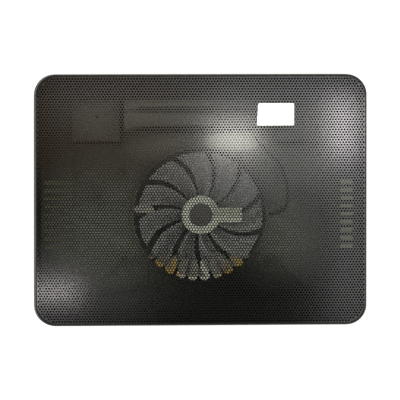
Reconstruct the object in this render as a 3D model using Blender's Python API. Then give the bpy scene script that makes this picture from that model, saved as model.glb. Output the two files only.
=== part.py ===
"""Laptop cooling pad: a shallow moulded tray with one large fan under a perforated steel panel.

Metres, +Z up, +Y towards the rear edge, +X to the right. The origin lies on the desk, under the
middle of the pad's outline. The pad stands on four rubber feet, with its two legs folded away.
"""

import math

import bmesh
import bpy
from mathutils import Matrix, Vector
from mathutils.geometry import delaunay_2d_cdt

# Clearances
SEAT_GAP = 0.0003  # between pieces that rest on each other or sit in each other
SLIDE_GAP = 0.0004  # each side of a leg in its well
CUT_OVER = 0.001  # how far a cutter runs past the face it opens

# Tray
BODY_WIDTH = 0.340
BODY_DEPTH = 0.256
CORNER_RADIUS = 0.021
PANEL_TOP = 0.026  # height of the panel's top face over the desk
STANDOFF = 0.003  # height of the tray's underside over the desk
FLOOR = 0.002
WALL = 0.0027
EDGE_IN = 0.007  # how far the rounded lower edge draws in
EDGE_UP = 0.010  # how far it climbs
UPSTAND_CHAMFER = 0.0006  # on the edge that the panel's fold goes round

# Perforated panel: a lid over the whole top, with a skirt folded down outside the tray's upstand. The
# pressed sheet has holes of about 2 mm, 3 mm apart. Its solid has a coarser pattern, as open as that.
SHEET = 0.0008
PANEL_IN = 0.0002  # how far the skirt lies inside the face of the tray's wall
FOLD_RADIUS = 0.0016
SKIRT = 0.004
HOLE_ACROSS = 0.0145  # across the flats of a six-sided hole
HOLE_PITCH = 0.0219
HOLE_MARGIN = 0.0015

# Badge plate on the panel
BADGE_WIDTH = 0.0383
BADGE_DEPTH = 0.0226
BADGE_THICK = 0.0005
BADGE_RADIUS = 0.0012
BADGE_FROM_RIGHT = 0.0942  # badge centre to the tray's right side
BADGE_FROM_REAR = 0.0409  # badge centre to the tray's rear side

# Cable bay, a trough in the underside between the two leg wells
POCKET_WALL = 0.0022
REAR_STRIP = 0.028  # tray's rear side to the inside of the bay and wells
BAY_DEPTH = 0.0272
BAY_HEIGHT = 0.012
BAY_SLOT_LENGTH = 0.107
BAY_SLOT_WIDTH = 0.005
BAY_SLOT_X = -0.0115
BAY_SLOT_FROM_REAR = 0.0075
EYE_RADIUS = 0.0022  # round hole in the roof of each leg well
EYE_FROM_REAR = 0.0155

# Fan
ROTOR_RADIUS = 0.0635
TIP_GAP = 0.0045
SHROUD_WALL = 0.002
SHROUD_HEIGHT = 0.008
FAN_TO_BAY = 0.016  # shroud to the cable bay
HUB_RADIUS = 0.020
HUB_WALL = 0.0018
HUB_PLATE = 0.0015
HUB_HEIGHT = 0.0117
HUB_BEVEL = 0.0008
BLADE_COUNT = 11
BLADE_FIRST_DEG = 16.0  # where the first blade's root lies round from +X, against the clock
BLADE_CHORD_DEG = 26.5
BLADE_SWEEP_DEG = 18.0  # how far the tip lies round from the root, against the clock
BLADE_SWEEP_POWER = 1.8
BLADE_THICK = 0.0012
BLADE_ROOT_RISE = 0.0085
BLADE_TIP_RISE = 0.0075
BLADE_SINK = 0.0009  # how deep a blade's root runs into the hub wall

# Guard under the fan: wedge slots between straight ribs, in two rings
SEAT_RADIUS = 0.022
SEAT_THICK = 0.0035
GUARD_TIE = 0.004  # width of the plain rings between seat, inner slots and outer slots
GUARD_MIDDLE = 0.045  # radius of the middle tie ring's centre line
GUARD_RIB = 0.003
INNER_SLOTS = 16
OUTER_SLOTS = 32

# Motor inside the hub
SHAFT_RADIUS = 0.0015
SHAFT_GRIP = 0.0022  # how deep the shaft sits in the hub's boss
BOSS_WALL = 0.0014
YOKE_WALL = 0.0008
MAGNET_THICK = 0.0016
AIR_GAP = 0.0006
SLEEVE_WALL = 0.0012
TUBE_WALL = 0.0010
FLANGE_RADIUS = 0.0150
FLANGE_THICK = 0.0018
BOARD_THICK = 0.001
STATOR_HEIGHT = 0.004
STATOR_LIFT = 0.0014  # board to stator
POLE_COUNT = 4
POLE_WIDTH = 0.005
POLE_TIP = 0.0016
COIL_BUILD = 0.0016
CLIP_THICK = 0.0005
CLIP_RIM = 0.0010

# Screws that hold the motor to its seat
SCREW_COUNT = 3
SCREW_CIRCLE = 0.0105
SCREW_SHANK = 0.0012
SCREW_HEAD = 0.0023
SCREW_HEAD_HEIGHT = 0.0013
SCREW_SUNK = 0.0003
CROSS_LENGTH = 0.0028
CROSS_WIDTH = 0.0006
CROSS_DEPTH = 0.0006

# Label on the hub, a disc with a straight tail
LABEL_RADIUS = 0.0195
LABEL_TAIL = 0.042  # hub centre to the tail's end
LABEL_TAIL_WIDTH = 0.0147
LABEL_THICK = 0.0003

# Side vents in the floor
VENT_COUNT = 9
VENT_PITCH = 0.0082
VENT_LENGTH = 0.030
VENT_WIDTH = 0.0038
VENT_FROM_SIDE = 0.026

# Posts that carry the panel
POST_FOOT = 0.0035
POST_TIP = 0.0025
POST_OFF_SHROUD = 0.0206
POST_TURN_DEG = 29.0
SIDE_POST_OFF_SHROUD = 0.0345
SIDE_POST_Y = 0.0184
FRONT_POST_X = 0.122
FRONT_POST_FROM_FRONT = 0.032
TAB_WIDTH = 0.008
TAB_THICK = 0.002
TAB_X = 0.125
TAB_FROM_REAR = 0.016

# Folding legs under the rear edge
LEG_FROM_SIDE = 0.0646  # middle of a leg to the tray's side
LEG_WIDTH = 0.046
LEG_LENGTH = 0.028  # hinge line to the end of the leg's plate
LEG_THICK = 0.006
LEG_OPEN_DEG = 105.0
LEG_ROOF_GAP = 0.0012
POCKET_SPACING = 0.0016  # between the bay's walls and the wells' walls
LEG_PANEL_MARGIN = 0.005
LEG_PANEL_DEPTH = 0.0008
PIN_RADIUS = 0.0016
PIN_REACH = 0.0015
TIP_THICK = 0.0025
TIP_MARGIN = 0.004
TIP_HEIGHT = 0.0044
FINGER_GAP = 0.006

# Rubber feet
FOOT_RADIUS = 0.007
FOOT_SUNK = 0.0008
FOOT_BEVEL = 0.0006
FOOT_FROM_SIDE = 0.027
FOOT_FROM_END = 0.024

# Cable gland and the fan's lead
GLAND_BODY = 0.003
GLAND_FLANGE = 0.0044
GLAND_FLANGE_THICK = 0.001
GLAND_BORE = 0.0015
GLAND_FROM_END = 0.0185  # gland centre to the bay's right end
GLAND_UP = 0.0065  # gland centre over the tray's underside
LEAD_RADIUS = 0.0012
LEAD_NOTCH = 0.0044
LEAD_STEP = 0.006

# How finely round shapes are divided
CORNER_STEPS = 8
EDGE_STEPS = 4
FOLD_STEPS = 3
TURN_STEPS = 32
SHROUD_STEPS = 56
SMALL_STEPS = 14
SLOT_END_STEPS = 4

# Heights and places that follow from the sizes above
FLOOR_TOP = STANDOFF + FLOOR
PANEL_UNDER = PANEL_TOP - SHEET
UPSTAND_IN = PANEL_IN + SHEET + SEAT_GAP
UPSTAND_TOP = PANEL_UNDER - SEAT_GAP
SHOULDER = PANEL_TOP - SKIRT - SEAT_GAP
BAY_REAR = BODY_DEPTH / 2 - REAR_STRIP
BAY_FRONT = BAY_REAR - BAY_DEPTH
BAY_ROOF = STANDOFF + BAY_HEIGHT
SHROUD_INNER = ROTOR_RADIUS + TIP_GAP
SHROUD_OUTER = SHROUD_INNER + SHROUD_WALL
FAN_Y = BAY_FRONT - POCKET_WALL - FAN_TO_BAY - SHROUD_OUTER
SEAT_TOP = STANDOFF + SEAT_THICK
FLANGE_BOTTOM = SEAT_TOP + SEAT_GAP
FLANGE_TOP = FLANGE_BOTTOM + FLANGE_THICK
BOARD_BOTTOM = FLANGE_TOP + SEAT_GAP
BOARD_TOP = BOARD_BOTTOM + BOARD_THICK
STATOR_BOTTOM = BOARD_TOP + STATOR_LIFT
STATOR_TOP = STATOR_BOTTOM + STATOR_HEIGHT
HUB_BOTTOM = BOARD_BOTTOM + 2 * SEAT_GAP
HUB_TOP = HUB_BOTTOM + HUB_HEIGHT
YOKE_TOP = HUB_TOP - HUB_PLATE - SEAT_GAP
YOKE_RADIUS = HUB_RADIUS - HUB_WALL - SEAT_GAP
MAGNET_OUTER = YOKE_RADIUS - YOKE_WALL - SEAT_GAP
MAGNET_INNER = MAGNET_OUTER - MAGNET_THICK
STATOR_RADIUS = MAGNET_INNER - AIR_GAP
BOSS_RADIUS = SHAFT_RADIUS + SEAT_GAP + BOSS_WALL
BOSS_BOTTOM = YOKE_TOP - YOKE_WALL - SEAT_GAP
SLEEVE_INNER = SHAFT_RADIUS + SEAT_GAP
SLEEVE_OUTER = SLEEVE_INNER + SLEEVE_WALL
TUBE_INNER = SLEEVE_OUTER + SEAT_GAP
TUBE_OUTER = TUBE_INNER + TUBE_WALL
TUBE_TOP = STATOR_TOP + SEAT_GAP
CLIP_BOTTOM = FLANGE_BOTTOM + SEAT_GAP
SLEEVE_BOTTOM = CLIP_BOTTOM + CLIP_THICK + SEAT_GAP
SLEEVE_TOP = TUBE_TOP
LEG_BOTTOM = STANDOFF + SEAT_GAP
HINGE_Z = LEG_BOTTOM + LEG_THICK / 2
HEEL_LEAN = math.radians(LEG_OPEN_DEG - 90.0)
HEEL_DEPTH = HINGE_Z - STANDOFF
HEEL_ROOM = (LEG_THICK / 2 + HEEL_DEPTH * math.sin(HEEL_LEAN)) / math.cos(HEEL_LEAN) + SEAT_GAP
WELL_REAR = BAY_REAR
HINGE_Y = WELL_REAR - HEEL_ROOM
WELL_FRONT = HINGE_Y - LEG_LENGTH - SEAT_GAP - TIP_THICK - FINGER_GAP
WELL_ROOF = LEG_BOTTOM + LEG_THICK + LEG_ROOF_GAP
WELL_WIDTH = LEG_WIDTH + 2 * SLIDE_GAP
LEG_X = BODY_WIDTH / 2 - LEG_FROM_SIDE
BAY_LENGTH = 2 * (LEG_X - WELL_WIDTH / 2 - 2 * POCKET_WALL - POCKET_SPACING)
GLAND_X = BAY_LENGTH / 2 - GLAND_FROM_END
GLAND_Z = STANDOFF + GLAND_UP
LEAD_Z =FLOOR_TOP + SEAT_GAP + LEAD_RADIUS
LEAD_Z_ON_SEAT = SEAT_TOP + SEAT_GAP + LEAD_RADIUS

# Colours, roughness and metallic value of each finish
FINISHES = {
    "black_abs": ((0.018, 0.018, 0.017, 1.0), 0.50, 0.0),
    "painted_steel": ((0.015, 0.015, 0.015, 1.0), 0.42, 0.0),
    "white_badge": ((0.88, 0.88, 0.87, 1.0), 0.30, 0.0),
    "smoky_blade": ((0.090, 0.090, 0.088, 1.0), 0.30, 0.0),
    "pale_label": ((0.66, 0.70, 0.56, 1.0), 0.55, 0.0),
    "bright_steel": ((0.60, 0.60, 0.60, 1.0), 0.32, 1.0),
    "grey_ferrite": ((0.055, 0.052, 0.050, 1.0), 0.65, 0.0),
    "sintered_bronze": ((0.46, 0.28, 0.13, 1.0), 0.48, 1.0),
    "enamelled_copper": ((0.48, 0.17, 0.06, 1.0), 0.35, 1.0),
    "green_board": ((0.030, 0.130, 0.055, 1.0), 0.45, 0.0),
    "black_rubber": ((0.012, 0.012, 0.012, 1.0), 0.80, 0.0),
    "black_pvc": ((0.010, 0.010, 0.010, 1.0), 0.45, 0.0),
}


# Helpers


def clear_scene():
    for obj in list(bpy.data.objects):
        bpy.data.objects.remove(obj)


def finish(name):
    """The material of a finish, made once."""
    found = bpy.data.materials.get(name)
    if found:
        return found
    colour, roughness, metallic = FINISHES[name]
    material = bpy.data.materials.new(name)
    material.use_nodes = True
    shader = material.node_tree.nodes["Principled BSDF"]
    shader.inputs["Base Color"].default_value = colour
    shader.inputs["Roughness"].default_value = roughness
    shader.inputs["Metallic"].default_value = metallic
    return material


def piece(name, mesh, finish_name, location=(0.0, 0.0, 0.0), parent=None):
    """An object for one physical piece, shaded smooth with its edges kept sharp."""
    obj = bpy.data.objects.new(name, mesh)
    bpy.context.scene.collection.objects.link(obj)
    if obj.type == "MESH":
        mesh.shade_smooth()
        mesh.set_sharp_from_angle(angle=math.radians(32))
    mesh.materials.append(finish(finish_name))
    obj.location = location
    obj.parent = parent
    return obj


def axis_empty(name, location):
    """An empty on a joint's axis, which carries the pieces that turn about it."""
    empty = bpy.data.objects.new(name, None)
    empty.location = location
    bpy.context.scene.collection.objects.link(empty)
    return empty


def helper(name, mesh):
    """An object that only cuts or joins, and is no piece of the pad."""
    obj = bpy.data.objects.new(name, mesh)
    bpy.context.scene.collection.objects.link(obj)
    obj.hide_render = True
    obj.display_type = "WIRE"
    return obj


def boolean(obj, operand, operation):
    modifier = obj.modifiers.new(f"{operation.lower()}_{operand.name}", "BOOLEAN")
    modifier.operation = operation
    modifier.solver = "EXACT"
    modifier.use_self = True
    modifier.object = operand


def mesh_of(name, form):
    """A mesh from a bmesh, with doubles merged and faces pointing out."""
    bmesh.ops.remove_doubles(form, verts=form.verts, dist=1e-7)
    bmesh.ops.recalc_face_normals(form, faces=form.faces)
    mesh = bpy.data.meshes.new(name)
    form.to_mesh(mesh)
    form.free()
    return mesh


def joined(name, forms):
    """One mesh that holds several closed shapes."""
    whole = bmesh.new()
    for form in forms:
        part = bpy.data.meshes.new(name)
        form.to_mesh(part)
        form.free()
        whole.from_mesh(part)
        bpy.data.meshes.remove(part)
    bmesh.ops.recalc_face_normals(whole, faces=whole.faces)
    mesh = bpy.data.meshes.new(name)
    whole.to_mesh(mesh)
    whole.free()
    return mesh


def prism(points, low, high):
    """A flat outline of (x, y) points raised from one height to another."""
    form = bmesh.new()
    base = form.faces.new([form.verts.new((x, y, low)) for x, y in points])
    raised = bmesh.ops.extrude_face_region(form, geom=[base])
    tops = [item for item in raised["geom"] if isinstance(item, bmesh.types.BMVert)]
    bmesh.ops.translate(form, verts=tops, vec=(0.0, 0.0, high - low))
    bmesh.ops.recalc_face_normals(form, faces=form.faces)
    return form


def block(low, high):
    """A box between two corners."""
    corners = ((low[0], low[1]), (high[0], low[1]), (high[0], high[1]), (low[0], high[1]))
    return prism(corners, low[2], high[2])


def turned(profile, steps=TURN_STEPS):
    """A profile of (radius, height) points turned about Z. A profile off the axis is a closed ring."""
    form = bmesh.new()
    verts = [form.verts.new((radius, 0.0, height)) for radius, height in profile]
    edges = [form.edges.new(pair) for pair in zip(verts, verts[1:])]
    if profile[0][0] > 0.0:
        edges.append(form.edges.new((verts[-1], verts[0])))
    bmesh.ops.spin(
        form,
        geom=verts + edges,
        cent=(0.0, 0.0, 0.0),
        axis=(0.0, 0.0, 1.0),
        angle=math.tau,
        steps=steps,
        use_merge=True,
    )
    bmesh.ops.remove_doubles(form, verts=form.verts, dist=1e-7)
    bmesh.ops.recalc_face_normals(form, faces=form.faces)
    return form


def ring(inner, outer, low, high, steps=TURN_STEPS):
    return turned(((inner, low), (outer, low), (outer, high), (inner, high)), steps)


def disc(radius, low, high, steps=TURN_STEPS):
    return turned(((0.0, low), (radius, low), (radius, high), (0.0, high)), steps)


def moved(form, offset):
    bmesh.ops.translate(form, verts=form.verts, vec=offset)
    return form


def rotated(form, angle, axis):
    """A shape rotated about one of the frame's axes."""
    turn = Matrix.Rotation(angle, 3, axis)
    bmesh.ops.rotate(form, verts=form.verts, cent=(0.0, 0.0, 0.0), matrix=turn)
    return form


def spun(form, angle):
    """A shape turned about Z by an angle in radians."""
    return rotated(form, angle, "Z")


def laid_along_x(form):
    """A shape turned about Z laid down, so that its axis runs along X."""
    return rotated(form, math.pi / 2, "Y")


def polar(radius, angle):
    return (radius * math.cos(angle), radius * math.sin(angle))


def arc(centre, radius, start, stop, steps):
    """Points along an arc, both ends included."""
    turns = [start + (stop - start) * step / steps for step in range(steps + 1)]
    return [(centre[0] + radius * math.cos(turn), centre[1] + radius * math.sin(turn)) for turn in turns]


def rounded_outline(width, depth, radius):
    """A rounded rectangle about the origin, counter-clockwise."""
    points = []
    for quarter, (side, end) in enumerate(((1, 1), (-1, 1), (-1, -1), (1, -1))):
        centre = (side * (width / 2 - radius), end * (depth / 2 - radius))
        start = quarter * math.pi / 2
        points += arc(centre, radius, start, start + math.pi / 2, CORNER_STEPS)
    return points


def body_outline(inset):
    """The pad's outline drawn in by an inset."""
    return rounded_outline(BODY_WIDTH - 2 * inset, BODY_DEPTH - 2 * inset, CORNER_RADIUS - inset)


def bridge(form, first, second):
    """A closed band of faces between two loops of as many points."""
    for here in range(len(first)):
        ahead = (here + 1) % len(first)
        form.faces.new((first[here], first[ahead], second[ahead], second[here]))


def body_rows(form, levels):
    """Loops of points on body outlines at (inset, height) levels."""
    return [[form.verts.new((x, y, height)) for x, y in body_outline(inset)] for inset, height in levels]


def stacked(levels):
    """A closed solid from body outlines at (inset, height) levels, capped at the first and the last."""
    form = bmesh.new()
    rows = body_rows(form, levels)
    for lower, upper in zip(rows, rows[1:]):
        bridge(form, lower, upper)
    form.faces.new(list(reversed(rows[0])))
    form.faces.new(rows[-1])
    bmesh.ops.recalc_face_normals(form, faces=form.faces)
    return form


def stadium(length, width):
    """A slot outline along X with round ends."""
    reach = (length - width) / 2
    right = arc((reach, 0.0), width / 2, -math.pi / 2, math.pi / 2, SLOT_END_STEPS)
    left = arc((-reach, 0.0), width / 2, math.pi / 2, 3 * math.pi / 2, SLOT_END_STEPS)
    return right + left


# Tray


def tray_shell():
    """Outside from the underside up to the shoulder and the upstand, then inside down to the floor."""
    quarter = [math.pi / 2 * step / EDGE_STEPS for step in range(EDGE_STEPS + 1)]
    edge_top = STANDOFF + EDGE_UP
    levels = [(EDGE_IN * (1 - math.sin(a)), STANDOFF + EDGE_UP * (1 - math.cos(a))) for a in quarter]
    levels += [
        (0.0, SHOULDER),
        (UPSTAND_IN, SHOULDER),
        (UPSTAND_IN, UPSTAND_TOP - UPSTAND_CHAMFER),
        (UPSTAND_IN + UPSTAND_CHAMFER, UPSTAND_TOP),
        (WALL, UPSTAND_TOP),
    ]
    inside = [
        (EDGE_IN - (EDGE_IN - WALL) * math.sin(a), edge_top - (EDGE_UP - FLOOR) * math.cos(a))
        for a in reversed(quarter)
    ]
    return stacked(levels + inside)


def pocket(centre_x, width, front, rear, roof, wall):
    """The block of a pocket in the floor: its hollow drawn out by a wall on every side but below."""
    low = (centre_x - width / 2 - wall, front - wall, STANDOFF + FLOOR / 2)
    high = (centre_x + width / 2 + wall, rear + wall, roof + wall)
    return block(low, high)


def hollow(centre_x, width, front, rear, roof):
    low = (centre_x - width / 2, front, STANDOFF - CUT_OVER)
    return block(low, (centre_x + width / 2, rear, roof))


def post_places():
    """Where the posts stand: four round the fan, two beside it and two in front."""
    circle = SHROUD_OUTER + POST_OFF_SHROUD
    reach = (circle * math.cos(math.radians(POST_TURN_DEG)), circle * math.sin(math.radians(POST_TURN_DEG)))
    side_x = SHROUD_OUTER + SIDE_POST_OFF_SHROUD
    front_y = -BODY_DEPTH / 2 + FRONT_POST_FROM_FRONT
    places = []
    for side in (-1, 1):
        places += [(side * reach[0], FAN_Y + reach[1]), (side * reach[0], FAN_Y - reach[1])]
        places += [(side * side_x, FAN_Y + SIDE_POST_Y), (side * FRONT_POST_X, front_y)]
    return places


def tray_additions():
    """What stands up from the floor: pockets, posts, rear tabs, the fan's shroud and the motor's seat."""
    root = STANDOFF + FLOOR / 2
    forms = [pocket(0.0, BAY_LENGTH, BAY_FRONT, BAY_REAR, BAY_ROOF, POCKET_WALL)]
    for side in (-1, 1):
        forms.append(pocket(side * LEG_X, WELL_WIDTH, WELL_FRONT, WELL_REAR, WELL_ROOF, POCKET_WALL))
    post_top = UPSTAND_TOP
    for x, y in post_places():
        post = turned(((0.0, root), (POST_FOOT, root), (POST_TIP, post_top), (0.0, post_top)), SMALL_STEPS)
        forms.append(moved(post, (x, y, 0.0)))
    tab_y = BODY_DEPTH / 2 - TAB_FROM_REAR
    for x in (-TAB_X, 0.0, TAB_X):
        low = (x - TAB_WIDTH / 2, tab_y - TAB_THICK / 2, root)
        forms.append(block(low, (x + TAB_WIDTH / 2, tab_y + TAB_THICK / 2, post_top)))
    shroud = ring(SHROUD_INNER, SHROUD_OUTER, root, FLOOR_TOP + SHROUD_HEIGHT, SHROUD_STEPS)
    forms.append(moved(shroud, (0.0, FAN_Y, 0.0)))
    forms.append(moved(disc(SEAT_RADIUS, root, SEAT_TOP), (0.0, FAN_Y, 0.0)))
    return joined("tray_additions", forms)


def wedge_slot(inner, outer, count):
    """One slot of a ring of slots: straight sides that keep a rib of even width, and a round outer end."""
    half_turn = math.pi / count
    rib_half = GUARD_RIB / 2
    inner_turn = half_turn - math.asin(rib_half / inner)
    outer_turn = half_turn - math.asin(rib_half / outer)
    end_bow = outer * math.sin(outer_turn) / 2
    shoulder = outer - end_bow
    shoulder_turn = half_turn - math.asin(rib_half / shoulder)
    points = [polar(inner, -inner_turn), polar(inner, inner_turn), polar(shoulder, shoulder_turn)]
    for step in range(1, SLOT_END_STEPS):
        along = math.cos(math.pi * step / SLOT_END_STEPS)
        bow = math.sin(math.pi * step / SLOT_END_STEPS)
        points.append(polar(shoulder + end_bow * bow, outer_turn * along))
    points.append(polar(shoulder, -shoulder_turn))
    return prism(points, STANDOFF - CUT_OVER, FLOOR_TOP + CUT_OVER)


def guard_slots():
    """The guard's two rings of slots, with a rib lying along +X in both."""
    forms = []
    middle_half = GUARD_TIE / 2
    rings = (
        (SEAT_RADIUS + GUARD_TIE, GUARD_MIDDLE - middle_half, INNER_SLOTS),
        (GUARD_MIDDLE + middle_half, SHROUD_INNER - SEAT_GAP, OUTER_SLOTS),
    )
    for inner, outer, count in rings:
        for number in range(count):
            turn = math.tau * (number + 0.5) / count
            forms.append(moved(spun(wedge_slot(inner, outer, count), turn), (0.0, FAN_Y, 0.0)))
    return joined("guard_slots", forms)


def side_vents():
    forms = []
    for side in (-1, 1):
        for number in range(VENT_COUNT):
            y = FAN_Y + (number - (VENT_COUNT - 1) / 2) * VENT_PITCH
            slot = prism(stadium(VENT_LENGTH, VENT_WIDTH), STANDOFF - CUT_OVER, FLOOR_TOP + CUT_OVER)
            forms.append(moved(slot, (side * (BODY_WIDTH / 2 - VENT_FROM_SIDE), y, 0.0)))
    return joined("side_vents", forms)


def screw_places():
    """Places of the motor's screws about the fan's axis."""
    return [polar(SCREW_CIRCLE, math.tau * (number + 0.25) / SCREW_COUNT) for number in range(SCREW_COUNT)]


def tray_hollows():
    """The bay with its slot and gland hole, the wells with their eyes and sockets, and the lead's notch."""
    forms = [hollow(0.0, BAY_LENGTH, BAY_FRONT, BAY_REAR, BAY_ROOF)]
    slot_top = BAY_ROOF + POCKET_WALL + CUT_OVER
    slot = prism(stadium(BAY_SLOT_LENGTH, BAY_SLOT_WIDTH), BAY_ROOF - CUT_OVER, slot_top)
    forms.append(moved(slot, (BAY_SLOT_X, BAY_REAR - BAY_SLOT_FROM_REAR, 0.0)))
    gland = disc(GLAND_BODY + SEAT_GAP, -POCKET_WALL - CUT_OVER, CUT_OVER, SMALL_STEPS)
    forms.append(moved(rotated(gland, -math.pi / 2, "X"), (GLAND_X, BAY_FRONT, GLAND_Z)))
    reach = PIN_REACH + SLIDE_GAP + SEAT_GAP
    for side in (-1, 1):
        forms.append(hollow(side * LEG_X, WELL_WIDTH, WELL_FRONT, WELL_REAR, WELL_ROOF))
        eye = disc(EYE_RADIUS, WELL_ROOF - CUT_OVER, WELL_ROOF + POCKET_WALL + CUT_OVER, SMALL_STEPS)
        forms.append(moved(eye, (side * LEG_X, WELL_REAR - EYE_FROM_REAR, 0.0)))
        half = WELL_WIDTH / 2 + reach - SLIDE_GAP
        socket = laid_along_x(disc(PIN_RADIUS + SEAT_GAP, -half, half, SMALL_STEPS))
        forms.append(moved(socket, (side * LEG_X, HINGE_Y, HINGE_Z)))
    notch_low = (SHROUD_INNER - CUT_OVER, FAN_Y - LEAD_NOTCH / 2, FLOOR_TOP)
    notch_high = (SHROUD_OUTER + CUT_OVER, FAN_Y + LEAD_NOTCH / 2, FLOOR_TOP + LEAD_NOTCH)
    forms.append(block(notch_low, notch_high))
    return joined("tray_hollows", forms)


def tray_drillings():
    """Screw holes with sunk heads in the motor's seat, and shallow seats for the rubber feet."""
    forms = []
    sink = STANDOFF + SCREW_SUNK + SCREW_HEAD_HEIGHT + SEAT_GAP
    for x, y in screw_places():
        hole = turned(
            (
                (0.0, STANDOFF - CUT_OVER),
                (SCREW_HEAD + SEAT_GAP, STANDOFF - CUT_OVER),
                (SCREW_HEAD + SEAT_GAP, sink),
                (SCREW_SHANK + SEAT_GAP, sink),
                (SCREW_SHANK + SEAT_GAP, SEAT_TOP + CUT_OVER),
                (0.0, SEAT_TOP + CUT_OVER),
            ),
            SMALL_STEPS,
        )
        forms.append(moved(hole, (x, FAN_Y + y, 0.0)))
    for x, y in foot_places().values():
        seat = disc(FOOT_RADIUS + SEAT_GAP, STANDOFF - CUT_OVER, STANDOFF + FOOT_SUNK + SEAT_GAP, TURN_STEPS)
        forms.append(moved(seat, (x, y, 0.0)))
    return joined("tray_drillings", forms)


def build_tray():
    tray = piece("base_tray", mesh_of("base_tray", tray_shell()), "black_abs")
    boolean(tray, helper("tray_additions", tray_additions()), "UNION")
    boolean(tray, helper("tray_hollows", tray_hollows()), "DIFFERENCE")
    boolean(tray, helper("guard_slots", guard_slots()), "DIFFERENCE")
    boolean(tray, helper("side_vents", side_vents()), "DIFFERENCE")
    boolean(tray, helper("tray_drillings", tray_drillings()), "DIFFERENCE")


# Panel and badge


def in_field(x, y, inset):
    """Is a point inside the pad's outline drawn in by an inset?"""
    radius = CORNER_RADIUS - inset
    past_x = abs(x) - (BODY_WIDTH / 2 - CORNER_RADIUS)
    past_y = abs(y) - (BODY_DEPTH / 2 - CORNER_RADIUS)
    if past_x > 0 and past_y > 0:
        return math.hypot(past_x, past_y) < radius
    return max(past_x, past_y) < radius


def hole_outlines():
    """Six-sided holes in staggered rows, wherever a whole hole fits in the flat of the panel."""
    inset = PANEL_IN + FOLD_RADIUS + HOLE_MARGIN
    corner = HOLE_ACROSS / 2 / math.cos(math.pi / 6)
    hexagon = [polar(corner, math.pi / 6 + math.pi / 3 * side) for side in range(6)]
    row_pitch = HOLE_PITCH * math.sqrt(3) / 2
    rows = int(BODY_DEPTH / 2 / row_pitch) + 1
    columns = int(BODY_WIDTH / 2 / HOLE_PITCH) + 1
    outlines = []
    for row in range(-rows, rows + 1):
        for column in range(-columns, columns + 1):
            x = (column + 0.5 * (row % 2)) * HOLE_PITCH
            y = row * row_pitch
            outline = [(x + dx, y + dy) for dx, dy in hexagon]
            if all(in_field(*point, inset) for point in outline):
                outlines.append(outline)
    return outlines


def panel_form():
    """A sheet with holes cut straight through and its edge folded down all round, as one closed skin."""
    fold_inset = PANEL_IN + FOLD_RADIUS
    loops = [body_outline(fold_inset), *hole_outlines()]
    corners = [Vector(point) for loop in loops for point in loop]
    numbers = iter(range(len(corners)))
    rings = [[next(numbers) for _ in loop] for loop in loops]
    inside_with_holes = 2
    _, _, triangles, *_ = delaunay_2d_cdt(corners, [], rings, inside_with_holes, 1e-9)

    form = bmesh.new()
    top = [form.verts.new((x, y, PANEL_TOP)) for x, y in corners]
    under = [form.verts.new((x, y, PANEL_UNDER)) for x, y in corners]
    for triangle in triangles:
        form.faces.new([top[number] for number in triangle])
        form.faces.new([under[number] for number in reversed(triangle)])
    for hole in rings[1:]:
        bridge(form, [top[number] for number in hole], [under[number] for number in hole])

    quarter = [math.pi / 2 * step / FOLD_STEPS for step in range(1, FOLD_STEPS + 1)]
    fold_z = PANEL_TOP - FOLD_RADIUS
    inner_radius = FOLD_RADIUS - SHEET
    outer = [(fold_inset - FOLD_RADIUS * math.sin(a), fold_z + FOLD_RADIUS * math.cos(a)) for a in quarter]
    inner = [(fold_inset - inner_radius * math.sin(a), fold_z + inner_radius * math.cos(a)) for a in quarter]
    skirt_z = PANEL_TOP - SKIRT
    skirt = [(PANEL_IN, skirt_z), (PANEL_IN + SHEET, skirt_z)]
    rows = body_rows(form, outer + skirt + list(reversed(inner)))
    rows = [[top[number] for number in rings[0]], *rows, [under[number] for number in rings[0]]]
    for first, second in zip(rows, rows[1:]):
        bridge(form, first, second)
    return form


def build_panel():
    piece("mesh_panel", mesh_of("mesh_panel", panel_form()), "painted_steel")
    badge = prism(rounded_outline(BADGE_WIDTH, BADGE_DEPTH, BADGE_RADIUS), 0.0, BADGE_THICK)
    place = (BODY_WIDTH / 2 - BADGE_FROM_RIGHT, BODY_DEPTH / 2 - BADGE_FROM_REAR, PANEL_TOP + SEAT_GAP)
    piece("badge_plate", mesh_of("badge_plate", badge), "white_badge", place)


# Rotor


def blade():
    """One blade: a swept, twisted sheet, low at its leading edge, with its root inside the hub wall."""
    span_steps, chord_steps = 6, 4
    form = bmesh.new()
    middle = (HUB_BOTTOM + HUB_TOP - HUB_BEVEL) / 2
    skins = []
    for skin in (-1, 1):
        rows = []
        for along in range(span_steps + 1):
            share = along / span_steps
            radius = HUB_RADIUS - BLADE_SINK + (ROTOR_RADIUS - HUB_RADIUS + BLADE_SINK) * share
            sweep = math.radians(BLADE_SWEEP_DEG) * share**BLADE_SWEEP_POWER
            rise = BLADE_ROOT_RISE + (BLADE_TIP_RISE - BLADE_ROOT_RISE) * share
            row = []
            for across in range(chord_steps + 1):
                chord = across / chord_steps - 0.5
                turn = sweep + math.radians(BLADE_CHORD_DEG) * chord
                height = middle - rise * math.sin(math.pi * chord) / 2 + skin * BLADE_THICK / 2
                row.append(form.verts.new((*polar(radius, turn), height)))
            rows.append(row)
        skins.append(rows)
    for rows in skins:
        for lower, upper in zip(rows, rows[1:]):
            for here in range(chord_steps):
                form.faces.new((lower[here], lower[here + 1], upper[here + 1], upper[here]))
    rims = []
    for rows in skins:
        there = rows[0] + [row[-1] for row in rows[1:]] + list(reversed(rows[-1][:-1]))
        rims.append(there + [row[0] for row in reversed(rows[1:-1])])
    bridge(form, *rims)
    bmesh.ops.recalc_face_normals(form, faces=form.faces)
    return form


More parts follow.
